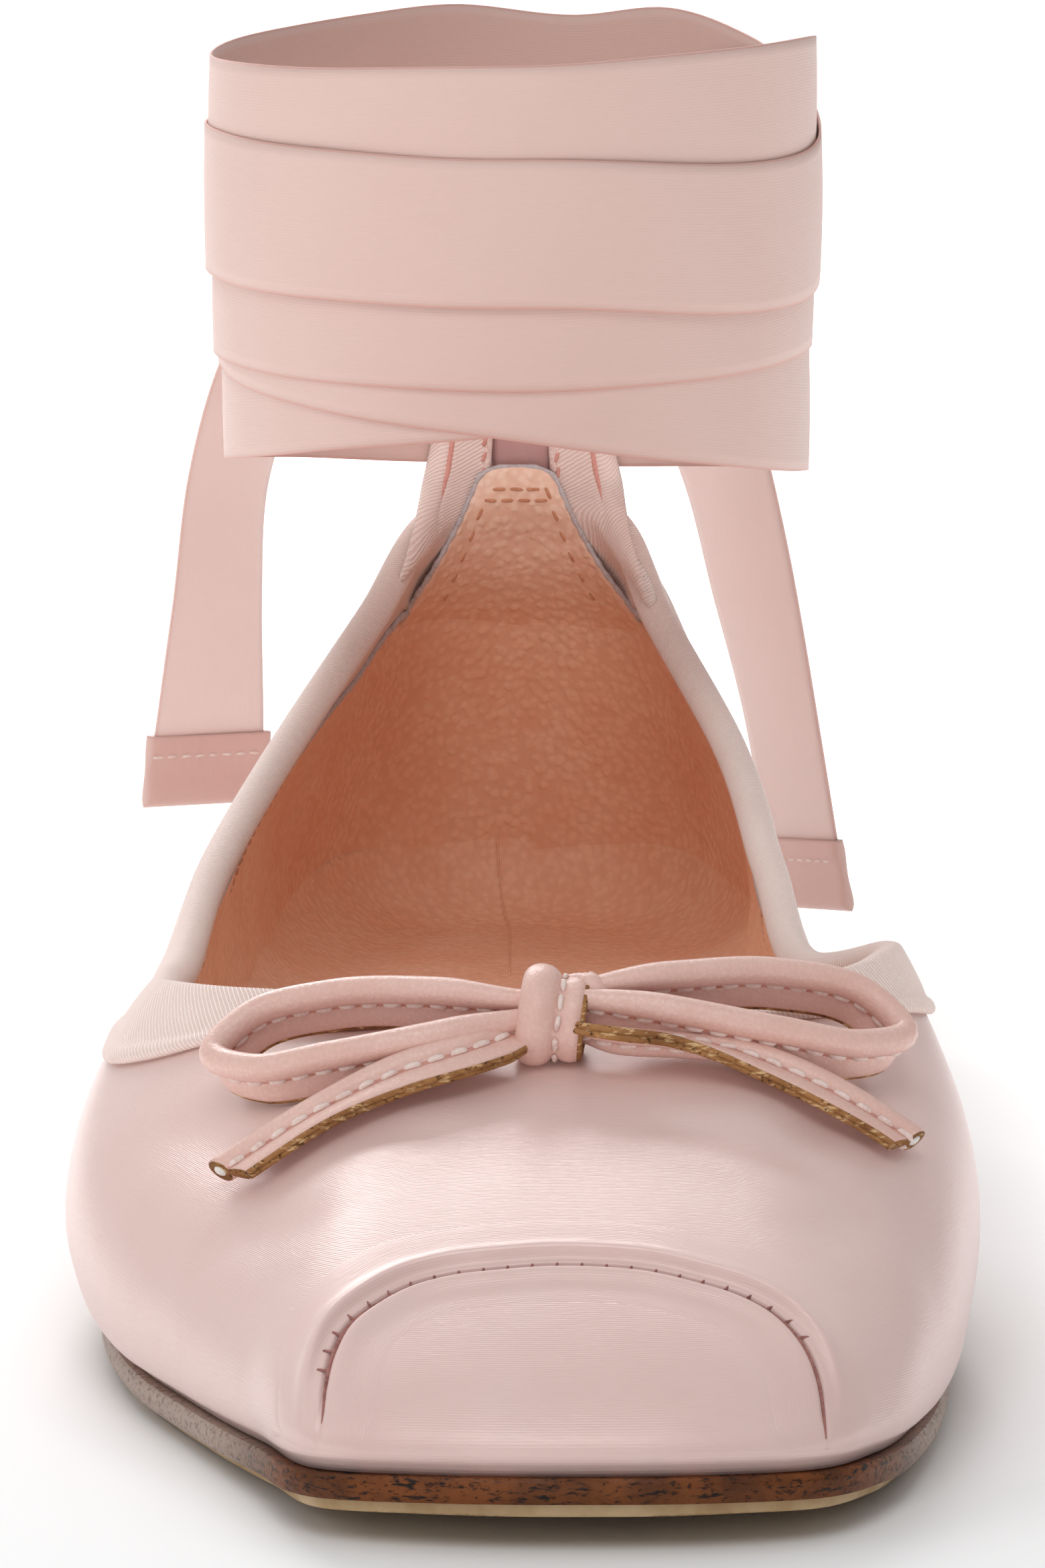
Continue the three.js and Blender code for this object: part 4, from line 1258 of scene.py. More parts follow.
# x, back to x, back on the vamp, then depth and width: soft troughs beside the bow and at the toe's sides
TROUGHS = (
    (-31.0, 60.0, -21.0, 42.0, 0.5, 2.6),
    (34.0, 62.0, 24.0, 42.0, 0.5, 2.8),
    (-18.0, 44.0, -6.0, 40.0, 0.22, 2.2),
    (12.0, 42.0, 27.0, 38.0, 0.3, 2.4),
    (-27.0, 40.0, -18.0, 30.0, 0.25, 2.4),
    (31.0, 36.0, 25.0, 27.0, 0.25, 2.4),
)


def drape(last: Last, along: Array, up: Array, points: Array) -> Array:
    """How far the satin lies off the last, apart from its seam.

    Args:
        last: the last.
        along: places round the feather line.
        up: heights up the wall.
        points: the places on the last.

    Returns:
        The lift in mm.
    """
    x, back = points[..., 0], points[..., 1] + last.toe_to_origin
    above = points[..., 2] - last.feather(last.table.at(along)[..., 1])
    lift = 0.28 * bell(above - 2.2, 1.6) - 0.75 * bell(above, 0.75)
    for x0, b0, x1, b1, depth, width in TROUGHS:
        span = math.hypot(x1 - x0, b1 - b0)
        way = ((x1 - x0) / span, (b1 - b0) / span)
        run = ((x - x0) * way[0] + (back - b0) * way[1]) / span
        aside = (back - b0) * way[0] - (x - x0) * way[1]
        ends = ease(run, -0.25, 0.2) * (1 - ease(run, 0.8, 1.25)) * ease(up, 0.25, 0.5)
        lift = lift - depth * ends * (bell(aside, width) - 0.3 * bell(np.abs(aside) - 1.9 * width, width))
    slow = np.sin(along / 17.0 + 3.1 * up) * np.sin(up * 7.3 + along / 41.0)
    fine = np.sin(along / 6.1 - 5.0 * up) * np.sin(along / 9.7 + 11.0 * up)
    return lift + 0.16 * slow + 0.05 * fine


@dataclass
class Collar(ShoePart):
    """Grosgrain folded over the collar's edge, with a rolled lower edge and a raw line inside."""

    stations: int = 640
    gap: float = 0.1
    crown: float = 0.95
    raw_radius: float = 0.36
    wing_back: float = 82.0
    wing_span: float = 13.0
    wing_wider: tuple[float, float] = (0.5, 0.1)
    # distance down from the collar's edge and lift off the wall: the rolled edge and the face outside
    outer_leg: tuple = (
        (5.2, 0.25), (5.15, 0.6), (4.95, 0.84), (4.6, 0.9), (4.3, 0.78), (4.1, 0.58), (3.85, 0.55),
        (3.5, 0.62), (2.8, 0.7), (2.1, 0.76), (1.4, 0.82), (0.7, 0.88),
    )
    inner_leg: tuple = ((0.9, 0.9), (2.0, 0.78), (3.2, 0.62), (4.3, 0.45), (4.6, 0.3), (4.6, 0.1))
    # height of the collar's edge, and how far down the inner leg reaches there
    inner_reach: tuple = ((33.0, 3.2), (42.0, 4.5), (47.0, 5.6), (52.0, 7.0), (57.0, 7.4))

    def build(self) -> None:
        """Builds the tape and the raw line."""
        wall = self.last.wall_thickness
        ring = np.linspace(0, self.last.table.length, self.stations + 1)
        edge, normal = self.last.wall(ring, 1.0), self.last.normal(ring, np.ones_like(ring))
        over = self.last.wall(ring, 1.0) - self.last.wall(ring, 0.98)
        reach = np.linalg.norm(over, axis=1) / 0.02
        over = unit(over)

        def leg(down: float | Array, lift: float) -> Array:
            """A line on the wall, down from the collar's edge."""
            return self.last.offset(ring, 1 - down / reach, lift)

        def crown(turn: float, far: float) -> Array:
            """A line over the collar's edge, from outside at 0 to inside at pi."""
            out = -wall / 2 + (wall / 2 + far) * math.cos(turn)
            return edge + normal * out + over * ((far + 0.35) * math.sin(turn))

        depth = self.inner_leg[-1][0]
        inside = np.interp(edge[:, 2], *zip(*self.inner_reach)) / depth
        beside = ease(np.abs(edge[:, 0]), 20.0, 31.0)
        wings = bell(edge[:, 1] + self.last.toe_to_origin - self.wing_back, self.wing_span) * beside
        outside = 1.0 + wings * np.where(edge[:, 0] < 0, *self.wing_wider)
        lines = [leg(down * outside, lift) for down, lift in self.outer_leg]
        lines += [crown(turn, self.crown) for turn in np.linspace(0, math.pi, 13)]
        lines += [leg(down * inside, -wall - lift) for down, lift in self.inner_leg]
        lines += [leg(down * inside, -wall - self.gap) for down in (3.0, 1.5)]
        lines += [crown(turn, self.gap) for turn in np.linspace(math.pi, 0, 7)]
        lines += [leg(down * outside, self.gap) for down in (1.6, 3.2, 4.8)]
        points = np.stack(lines + lines[:1], axis=1)
        points[-1] = points[0]
        tape = lattice("collar_tape", points, closed=True)
        self.dress(tape, Finish.GROSGRAIN, "grosgrain", "collar_binding")
        wave = 0.16 * np.sin(ring * 1.9) + 0.1 * np.sin(ring * 4.3 + 1.0)
        down = (depth + 0.1) * inside + 0.05 + wave
        rims = [leg(down + far, -wall - 0.42 + lift) for far, lift in circle(self.raw_radius, 7)]
        raw = np.stack(rims, axis=1)
        raw[-1] = raw[0]
        raw[:, -1] = raw[:, 0]
        thread = lattice("collar_raw_edge", raw, closed=True)
        self.dress(thread, Finish.GREY_THREAD, "grosgrain")


@dataclass
class Sole(ShoePart):
    """The outsole, its tread, the stacked heel and the insole."""

    edge: float = 0.7
    tread_inset: float = 1.8
    tread_end: float = 114.0
    heel_taper: float = 1.6
    top_piece: float = 2.6

    def place_of(self, back: float, low: float, high: float) -> float:
        """Finds the place on the feather line at a distance behind the toe, between two places."""
        spots = np.linspace(low, high, 4000)
        return float(spots[np.abs(self.last.table.at(spots)[:, 1] - back).argmin()])

    def layer(
        self, name: str, outer: Array, inner: Array, edge: float, heights: tuple, rounding: float,
        taper: float, caps: bool, rim_rows: int,
    ) -> Piece:
        """Builds one layer of the sole.

        Args:
            name: the piece's name.
            outer: places of the feather line on the outer side, from one end to the other.
            inner: the places opposite them.
            edge: how far the layer stands out from the feather line.
            heights: functions from the distance behind the toe to the layer's underside and its top.
            rounding: how far its edge is rounded.
            taper: how much its underside draws in.
            caps: whether an end is left to close.
            rim_rows: rows on its edge.

        Returns:
            The closed piece.
        """
        bottom, top = heights
        cross = np.linspace(0, 1, 13)[1:-1]
        share = np.linspace(0, 1, rim_rows)
        swell = edge - rounding * np.abs(2 * share - 1) ** 3 - taper * (1 - share)

        def rim(along: Array) -> Array:
            """The layer's edge from its underside to its top."""
            foot = self.last.table.at(along)[:, None, :2]
            plan = foot + self.last.outward(along)[:, None, :2] * swell[None, :, None]
            low, high = bottom(foot[..., 1]), top(foot[..., 1])
            z = low + (high - low) * share
            return np.concatenate([plan - (0.0, self.last.toe_to_origin), z[..., None]], axis=-1)

        left, right = rim(outer), rim(inner)
        under = left[:, :1] + (right[:, :1] - left[:, :1]) * cross[None, :, None]
        over = right[:, -1:] + (left[:, -1:] - right[:, -1:]) * cross[None, :, None]
        under[..., 2] = bottom(under[..., 1] + self.last.toe_to_origin)
        over[..., 2] = top(over[..., 1] + self.last.toe_to_origin)
        points = np.concatenate([under, right, over, left[:, ::-1], under[:, :1]], axis=1)
        piece = lattice(name, points, closed=True, caps=caps)
        pick(piece)
        bpy.ops.object.shade_smooth_by_angle(angle=math.radians(42))
        return piece

    def build(self) -> None:
        """Builds the five layers."""
        length, toe = self.last.table.length, self.last.table.knots[TOE_ROW]
        half = np.linspace(0, 1, 200)
        feather, bottom, ground = self.last.feather, self.last.outsole_bottom, self.last.ground
        tread = self.last.tread + self.last.gap
        start, end = (self.place_of(self.tread_end, *span) for span in ((0, toe), (toe, length)))
        breast = [self.place_of(self.last.heel_breast, *span) for span in ((0, toe), (toe, length))]
        whole = half * toe, length - half * (length - toe)
        front = start + half * (toe - start), end - half * (end - toe)
        heel = half * breast[0], length - half * (length - breast[1])
        inset, taper, low = self.last.wall_thickness + 0.55, self.heel_taper, self.top_piece
        seat = self.last.heel_rise + tread
        for name, ends, edge, heights, rounding, draw, caps, rows, finish, slot, *nodes in (
            (
                "outsole_layer", whole, self.edge, (bottom, lambda b: bottom(b) + self.last.outsole),
                0.35, 0.0, False, 8, Finish.SOLE_EDGE, "sole_edge", "outsole",
            ),
            (
                "insole_bed", whole, -inset, (feather, lambda b: feather(b) + self.last.insole),
                0.3, 0.0, False, 8, Finish.LINING, "lining_leather", "insole",
            ),
            (
                "tread_layer", front, self.edge - self.tread_inset, (ground, lambda b: ground(b) + tread),
                0.2, 0.0, True, 8, Finish.TREAD, "tread_rubber", "tread",
            ),
            (
                "heel_stack", heel, self.edge, (lambda b: low + 0 * b, lambda b: seat + 0 * b),
                0.15, taper * 0.7, True, 10, Finish.SOLE_EDGE, "sole_edge", "heel",
            ),
            (
                "heel_top_piece", heel, self.edge - taper * 0.6,
                (lambda b: 0 * b, lambda b: low + 0.15 + 0 * b),
                0.2, taper * 0.4, True, 8, Finish.TREAD, "sole_edge",
            ),
        ):
            piece = self.layer(name, *ends, edge, heights, rounding, draw, caps, rows)
            self.dress(piece, finish, slot, *nodes)


@dataclass
class Ankle:
    """The oval that the ribbon is wound on."""

    half_width: float = 30.2
    half_depth: float = 36.0
    back: float = 234.6
    shift: float = -0.9
    toe_to_origin: float = 72.0

    def at(self, turn: Array, grow: Array, z: Array) -> Array:
        """A place on the oval: turn 0 is behind, a quarter turn is the inner side."""
        turn, grow, z = np.broadcast_arrays(turn, grow, z)
        x = self.shift + (self.half_width + grow) * np.sin(turn)
        y = self.back - self.toe_to_origin - self.half_depth + (self.half_depth + grow) * np.cos(turn)
        return np.stack([x, y, z], axis=-1)


@dataclass
class HeelLoop(ShoePart):
    """Tape over the heel's edge that carries the ribbon, with two bound and stitched strips inside it."""

    ankle: Ankle
    width: float = 18.0
    tape: float = 0.9
    top: float = 82.6
    radius: float = 2.4
    middle: float = 0.7
    legs: float = 64.6
    outside_stand: float = 1.35
    stations: int = 72
    # half width of the darker sheet that is painted as the shade between the two inner strips
    painted_shade_half: float = 3.4
    # height, then the near and far side of the tape that runs up into the loop
    neck_sides: tuple = (
        (49.0, 12.0, 15.0), (50.0, 11.2, 14.8), (52.7, 9.2, 14.0), (55.0, 7.6, 13.0), (58.5, 5.4, 11.7),
        (61.0, 4.4, 11.0), (64.0, 3.5, 10.3), (68.0, 3.3, 9.5), (80.0, 3.3, 9.0),
    )
    # height and half width of the lining's rounded top
    tongue_sides: tuple = (
        (42.0, 16.0), (44.0, 15.0), (46.5, 13.8), (47.5, 13.2), (50.0, 11.6), (52.7, 9.7), (55.0, 8.3),
        (56.9, 7.2), (58.8, 6.2), (60.6, 5.4), (62.4, 4.6), (63.0, 4.35), (63.5, 4.0), (63.9, 3.5),
        (64.2, 2.8), (64.4, 2.0),
    )

    def collar_at(self, side: Array) -> Array:
        """Where the collar behind the heel is this far to the side."""
        reach = self.last.table.knots[2]
        spots = np.linspace(-reach, reach, 4000)
        x = self.last.table.at(spots)[:, 2]
        order = np.argsort(x)
        return np.interp(side, x[order], spots[order])

    def lines(self, sides: Array, lift: float, count: int) -> Array:
        """Runs the tape's face over the heel.

        Args:
            sides: the sideways places of the lines.
            lift: how far the lines stand in front of the tape's middle, on its inside.
            count: points along each line.

        Returns:
            Places, shape (count, sides, 3), from low outside, over the top, to low inside.
        """
        stand = self.outside_stand + self.tape / 2
        wall = self.last.wall_thickness
        bends = np.linspace(0, math.pi, 9)
        radius = self.radius - lift
        front = self.middle - self.radius - lift
        result = []
        for side in sides:
            along = np.full(1, float(self.collar_at(side)))
            turn = math.asin((side - self.ankle.shift) / self.ankle.half_width)
            outside, inside = (
                [self.last.offset(along, up, off - lift)[0] for up in ups]
                for off, ups in ((stand, (0.78, 0.86, 0.93, 0.985)), (-wall - 1.35, (0.985, 0.93, 0.88)))
            )
            level = self.top - self.radius
            arch = self.ankle.at(turn, self.middle + radius * np.cos(bends), level + radius * np.sin(bends))
            arch[-1] = self.ankle.at(turn, front, level)
            behind = self.ankle.at(turn, self.middle + radius, self.legs)
            before = self.ankle.at(turn, front, self.legs)
            path = np.vstack([outside, behind[None], arch, before[None], inside])
            result.append(SmoothCurve(path, 3).even(count))
        return np.stack(result, axis=1)

    def build(self) -> None:
        """Builds the tape, a darker sheet painted as shade in its middle, its inner strips and their
        stitches.
        """
        points = self.lines(np.linspace(-0.5, 0.5, 19) * self.width, 0.0, self.stations)
        tape = thicken(lattice("heel_loop_tape", points), self.tape, 0.0)
        self.dress(tape, Finish.LOOP_TAPE, "grosgrain", "heel_loop")
        inside = slice(38, self.stations)
        # painted shade: a darker sheet over the middle of the tape's inside, where the hollow between the
        # strips lies in shade
        centre = self.lines(np.linspace(-1, 1, 9) * self.painted_shade_half, 0.55, self.stations)[inside]
        painted_shade = thicken(lattice("heel_loop_painted_shade", centre), 0.12, 0.0)
        self.dress(painted_shade, Finish.RECESS, "grosgrain")
        for name, sign in (("outer", -1.0), ("inner", 1.0)):
            self.neck(name, sign)
        self.tongue()

    def ahead(self, side: Array, z: Array, low_proud: Array, high_proud: float) -> Array:
        """Places in front of the heel's inside, as seen from the toe.

        Args:
            side: sideways places.
            z: their heights.
            low_proud: how far they stand in front of the lining.
            high_proud: how far they stand in front of the loop's tape above it.

        Returns:
            The places.
        """
        side, z = np.broadcast_arrays(side, z)
        ups = np.linspace(0.3, 1.0, 160)
        lift = np.broadcast_to(-self.last.wall_thickness - low_proud, side.shape)
        guess = side
        for _ in range(4):
            along = self.collar_at(guess)
            heights = self.last.wall(along[..., None], ups)[..., 2]
            up = 0.3 + 0.7 * (heights < z[..., None]).mean(axis=-1)
            low = self.last.offset(along, up, lift)
            guess = guess + side - low[..., 0]
        turn = np.arcsin(np.clip((side - self.ankle.shift) / self.ankle.half_width, -1, 1))
        high = self.ankle.at(turn, self.middle - self.radius - self.tape / 2 - high_proud, z)
        y = low[..., 1] + (high[..., 1] - low[..., 1]) * ease(z, 55.5, 63.0)
        return np.stack([side, y, z], axis=-1)

    def neck(self, name: str, sign: float) -> None:
        """Runs the collar's tape up into the loop on one side, with a fold, a dark line painted as the shade
        along it, and a bound inner edge.

        Args:
            name: the side's name.
            sign: which way the side lies.
        """
        levels, near, far = zip(*self.neck_sides)
        count, columns = 66, 29
        z = np.linspace(levels[0], levels[-1], count)[:, None]
        inner = np.interp(z, levels, near) + 0.45 * (sign < 0)
        outer = np.interp(z, levels, far)
        share = np.linspace(0, 1, columns)[None, :]
        side = inner + (outer - inner) * share
        fold = 0.68 - 0.5 * (1 - ease(z, 52.0, 60.0))
        shape = 0.25 * ease(z, 54, 60) * np.minimum(1.0, np.abs(share - fold) / 0.06) + 0.25
        points = self.ahead(sign * side, z, 0.2 + 1.5 * ease(z, 51.0, 57.0), 0.3)
        points[..., 1] -= shape
        points[..., 1] += 2.8 * np.clip((share - 0.72) / 0.28, 0, 1) ** 2 * ease(z, 48, 56)
        run = points if sign < 0 else points[:, ::-1]
        tape = thicken(lattice(f"heel_neck_{name}", run), 0.45, 1.0)
        self.dress(tape, Finish.GROSGRAIN, "grosgrain")
        # painted shade: a dark red cord along the fold, where the strip meets the tape beside it in shadow
        rows = np.arange(20, count)
        column = np.clip(np.rint(fold[rows, 0] * (columns - 1)).astype(int), 0, columns - 1)
        crease = points[rows, column] - (0.0, 0.4, 0.0)
        size = 0.4 + 0.6 * ease(rows / count, 0.3, 0.5)
        line = sweep(f"heel_neck_fold_shade_{name}", crease, *self.facing(len(rows)), circle(0.4, 9), size)
        self.dress(line, Finish.FOLD, "grosgrain")
        edge = points[31:, 0] - (0.0, 0.15, 0.0)
        bead = sweep(f"heel_loop_edge_{name}", edge, *self.facing(len(edge)), circle(0.5, 9))
        self.dress(bead, Finish.THREAD, "grosgrain")
        at, way, _ = spread(edge + (sign * 0.35, -0.45, 0.0), 1.7)
        ups = self.facing(len(at))[1]
        row = stitches(f"heel_loop_stitches_{name}", at, way + (0.35, 0.0, 0.0), ups, 1.2, 0.42, 71)
        self.dress(row, Finish.FOLD, "grosgrain")

    @staticmethod
    def facing(count: int) -> tuple[Array, Array]:
        """The directions sideways and towards the toe, for each of some stations."""
        return same((1.0, 0.0, 0.0), count), same((0.0, -1.0, 0.0), count)

    def tongue(self) -> None:
        """Builds the rounded top of the lining in front of the loop, with its stitches and raw edge."""
        levels, halves = np.array(self.tongue_sides).T
        heights = np.concatenate([np.linspace(levels[0], 62.4, 50), levels[levels > 62.4]])
        half = np.interp(heights, levels, halves)
        share = np.linspace(-1, 1, 33)[None, :]
        z = np.broadcast_to(heights[:, None], (len(heights), 33))
        rise = ease(z, 42.0, 55.5)
        face = self.ahead(half[:, None] * share - 0.6 * rise, z, 3.7 * rise - 1.2, 1.5)
        face[..., 1] -= 0.3 * rise * (1 - share**2)
        skin = thicken(lattice("lining_tongue", face[:, ::-1], measure(face)[:, ::-1]), 0.35, 1.0)
        self.dress(skin, Finish.LINING, "lining_leather")
        start = 13
        rim = np.vstack([face[start:, 0], face[start:, -1][::-1]]) - (0.0, 0.25, 0.0)
        run, ahead = unit(np.gradient(rim, axis=0)), self.facing(len(rim))[1]
        wave = 1 + 0.25 * np.sin(np.arange(len(rim)) * 1.7)
        line = sweep("lining_tongue_raw_edge", rim, unit(np.cross(run, ahead)), ahead, circle(0.27, 9), wave)
        self.dress(line, Finish.GREY_THREAD, "lining_leather")
        rows = []
        for level, reach in ((62.0, 2.4), (60.8, 3.4)):
            i = int(np.abs(heights - level).argmin())
            spots = np.arange(-reach, reach, 1.9) - 0.2
            rows.append(np.stack([np.interp(spots, face[i, :, 0], face[i, :, k]) for k in range(3)], axis=-1))
        rows += [spread(face[19:48, k], 2.6)[0] for k in (5, 27)]
        at = np.concatenate(rows) - (0.0, 0.38, 0.0)
        ways = ((1.0, 0.0, 0.0), (1.0, 0.0, 0.0), (0.45, 0.0, 1.0), (-0.45, 0.0, 1.0))
        way = np.concatenate([same(w, len(r)) for w, r in zip(ways, rows)])
        ups = same((0.0, -1.0, 0.1), len(at))
        sewn = stitches("lining_tongue_stitches", at, way, ups, 1.5, 0.4, 72)
        self.dress(sewn, Finish.LINING_THREAD, "lining_leather")


@dataclass
class AnkleRibbon(ShoePart):
    """One ribbon through the heel loop, wound up the ankle, knotted behind, with two hanging tails."""

    ankle: Ankle
    width: float = 15.3
    cloth: float = 0.26
    tip_length: float = 7.2
    tip_width: float = 17.0
    tip_half_thickness: float = 0.66
    knot_half: tuple[float, float] = (2.35, 6.0)
    knot_height: float = 97.0
    knot_off: float = 5.58
    # angle round the ankle, height of the lower edge, distance off the oval
    winding: tuple = (
        (-716, 84, 1.5), (-630, 81.6, 1.2), (-540, 80.2, 1.25), (-450, 81, 1.35), (-360, 83.8, 0.8),
        (-270, 78.6, 0.5), (-180, 75.6, 0.4), (-90, 69.2, 0.35), (0, 64.2, 0.3), (90, 67.8, 0.8),
        (180, 75, 0.8), (270, 80.4, 0.95), (360, 90, 1.15), (450, 98.6, 1.35), (540, 98, 1.5),
        (630, 96.8, 1.65), (690, 98.9, 1.75), (708, 99.6, 1.8), (732, 98.4, 1.82), (752, 99.5, 1.85),
        (772, 97.2, 1.88), (810, 89.2, 1.95), (900, 88.6, 2.1), (990, 89.6, 2.2), (1076, 90, 2.4),
    )
    # x, distance behind the toe, height and turn in degrees of each tail's middle
    tails: tuple = (
        (Side.OUTER, (
            (-1.5, 239.6, 95, 0), (-7, 241.8, 92, 0), (-19.6, 244.6, 85.6, 18), (-27.6, 246, 76, 46),
            (-32.6, 247, 62, 54), (-34.2, 247.4, 47, 52), (-35.4, 247.6, 31.6, 38),
        )),
        (Side.INNER, (
            (0.5, 239.6, 95, 0), (6, 241.6, 92, 0), (15.4, 245.6, 80, -20), (22, 247.4, 64, -46),
            (26.4, 248, 46, -54), (29.4, 248, 32, -58), (31.6, 247.6, 19.6, -60),
        )),
    )

    def build(self) -> None:
        """Builds the wound part, the knot, the tails and their tips."""
        self.wind()
        self.knot()
        for side, rows in self.tails:
            self.tail(side, np.array(rows, float))

    def wind(self) -> None:
        """Winds the ribbon."""
        rows = np.array(self.winding, float)
        curve = SmoothCurve(rows, 1)
        angle = np.linspace(rows[0, 0], rows[-1, 0], 720)
        _, low, grow = np.moveaxis(curve.at(angle - rows[0, 0]), -1, 0)
        across = np.linspace(0, 1, 13)[None, :]
        turn = np.radians(angle)[:, None]
        bow = 0.16 * np.sin(math.pi * across) + 0.05 * np.sin(turn * 5.3 + across * 3.0)
        wave = 0.18 * np.sin(turn * 3.1) * (across - 0.5) + 0.05 * np.sin(turn * 7.7 + 2.0)
        z = low[:, None] + self.width * across + wave
        points = self.ankle.at(turn, grow[:, None] + bow, z)
        lengths = measure(points)
        lengths[..., 1] = across * self.width
        band = lattice("ankle_ribbon", points, lengths)
        thicken(band, self.cloth)
        self.dress(band, Finish.RIBBON, "ribbon", "ankle_wrap")

    def knot(self) -> None:
        """Ties the knot: a gathered band over the ends."""
        deep, tall = self.knot_half
        middle = self.ankle.at(0.0, self.knot_off, self.knot_height)
        turn = np.linspace(0, 2 * math.pi, 65)
        tilt = np.radians(9)
        oval = [0.9 * np.sin(turn) * math.sin(tilt), deep * np.cos(turn), tall * np.sin(turn)]
        path = middle + np.stack(oval, axis=-1)
        out = unit(np.stack([0 * turn, np.cos(turn) / deep, np.sin(turn) / tall], axis=-1))
        wide = same((math.cos(tilt), 0.0, -math.sin(tilt)), len(turn))
        share = np.linspace(-1, 1, 41)
        sway = np.sin(turn)[:, None]
        pinch = 5.4 + 0.8 * np.abs(sway)
        pleats = 0.55 + 0.32 * np.cos(share[None] * 7.5 + 0.8 * sway) + 0.5 * (1 - share[None] ** 4)
        front = path[:, None] + wide[:, None] * (pinch * share)[..., None] + out[:, None] * pleats[..., None]
        rear = path[:, None] + wide[:, None] * (pinch * share[::-1])[..., None] - out[:, None] * 0.5
        points = np.concatenate([front, rear, front[:, :1]], axis=1)
        points[-1] = points[0]
        lump = lattice("ankle_knot_wrap", points, closed=True)
        self.dress(lump, Finish.RIBBON_TIP, "ribbon", "ankle_knot")

    def tail(self, side: Side, rows: Array) -> None:
        """Hangs one tail with its folded and stitched tip.

        Args:
            side: which tail it is.
            rows: x, back, height and turn of the ribbon's middle.
        """
        path = rows.copy()
        path[:, 1] -= self.ankle.toe_to_origin
        columns = SmoothCurve(path, 3).even(96)
        middle, turn = columns[:, :3], np.radians(columns[:, 3])
        run = unit(np.gradient(middle, axis=0))
        level = np.stack([np.cos(turn), np.sin(turn), 0 * turn], axis=-1)
        thin = unit(np.cross(run, level))
        wide = unit(np.cross(thin, run))
        across = np.linspace(-0.5, 0.5, 15)
        share = np.linspace(0, 1, len(middle))
        gather = 1 - 0.45 * (1 - ease(share, 0.0, 0.22))
        curl = 0.9 * ease(share, 0.05, 0.3) * (1 - ease(share, 0.75, 1.0))
        lift = curl[:, None] * (0.25 - (across * 2) ** 2 / 2)[None]
        lift = lift + 0.2 * np.sin(share * 17)[:, None] * across[None]
        points = (
            middle[:, None]
            + wide[:, None] * (gather[:, None] * across[None] * self.width)[..., None]
            + thin[:, None] * lift[..., None]
        )
        lengths = measure(points)
        lengths[..., 1] = (across[None] + 0.5) * self.width
        name = side.value
        tail = thicken(lattice(f"ribbon_tail_cloth_{name}", points, lengths), self.cloth, 0.0)
        self.dress(tail, Finish.RIBBON_TAIL, "ribbon", f"ribbon_tail_{name}")
        with_tip = self.tip(name, middle[-1], run[-1], wide[-1], thin[-1])

    def tip(self, name: str, end: Array, run: Array, wide: Array, thin: Array) -> list[Piece]:
        """Folds and sews the end of a tail.

        Args:
            name: the tail's side.
            end: where its cloth ends.
            run: the way it hangs there.
            wide: the direction of its width.
            thin: the direction of its thickness.

        Returns:
            The folded tip and its stitches.
        """
        count, closes = 26, 0.9
        far = np.linspace(-closes, self.tip_length, count)
        past = np.clip(far - (self.tip_length - closes), 0, closes) / closes
        closing = np.sqrt(np.clip(1 - past**2, 0.05, 1))
        half = self.tip_width / 2
        corner = np.linspace(-math.pi / 2, math.pi / 2, 5)
        rim = np.stack([half - 0.5 + 0.5 * np.cos(corner), 0.62 * np.sin(corner)], axis=-1)
        face = np.linspace(half - 1.2, -half + 1.2, 15)
        top = np.stack([face, np.full(len(face), self.tip_half_thickness)], axis=-1)
        section = np.vstack([rim, top, -rim, -top, rim[:1]])
        core = end + run * (far[:, None] + 0.3)
        puff = 1 + 0.18 * np.sin(np.linspace(0, 3 * math.pi, count))
        points = (
            core[:, None] + wide * section[None, :, :1]
            + thin * (section[None, :, 1:] * (closing * puff)[:, None, None])
        )
        tag = lattice(f"ribbon_tip_fold_{name}", points, closed=True, caps=True)
        self.dress(tag, Finish.RIBBON_TIP, "ribbon", f"ribbon_tip_{name}")
        places = np.arange(-half + 1.2, half - 0.8, 1.9)
        at = np.concatenate([
            end + run * 1.7 + wide * places[:, None] + thin * (0.72 * face_side) for face_side in (1, -1)
        ])
        ups = np.repeat(np.array([thin, -thin]), len(places), axis=0)
        sewn = stitches(f"ribbon_tip_stitches_{name}", at, same(wide, len(at)), ups, 1.35, 0.4, 31)
        self.dress(sewn, Finish.THREAD, "ribbon")
        return [tag, sewn]


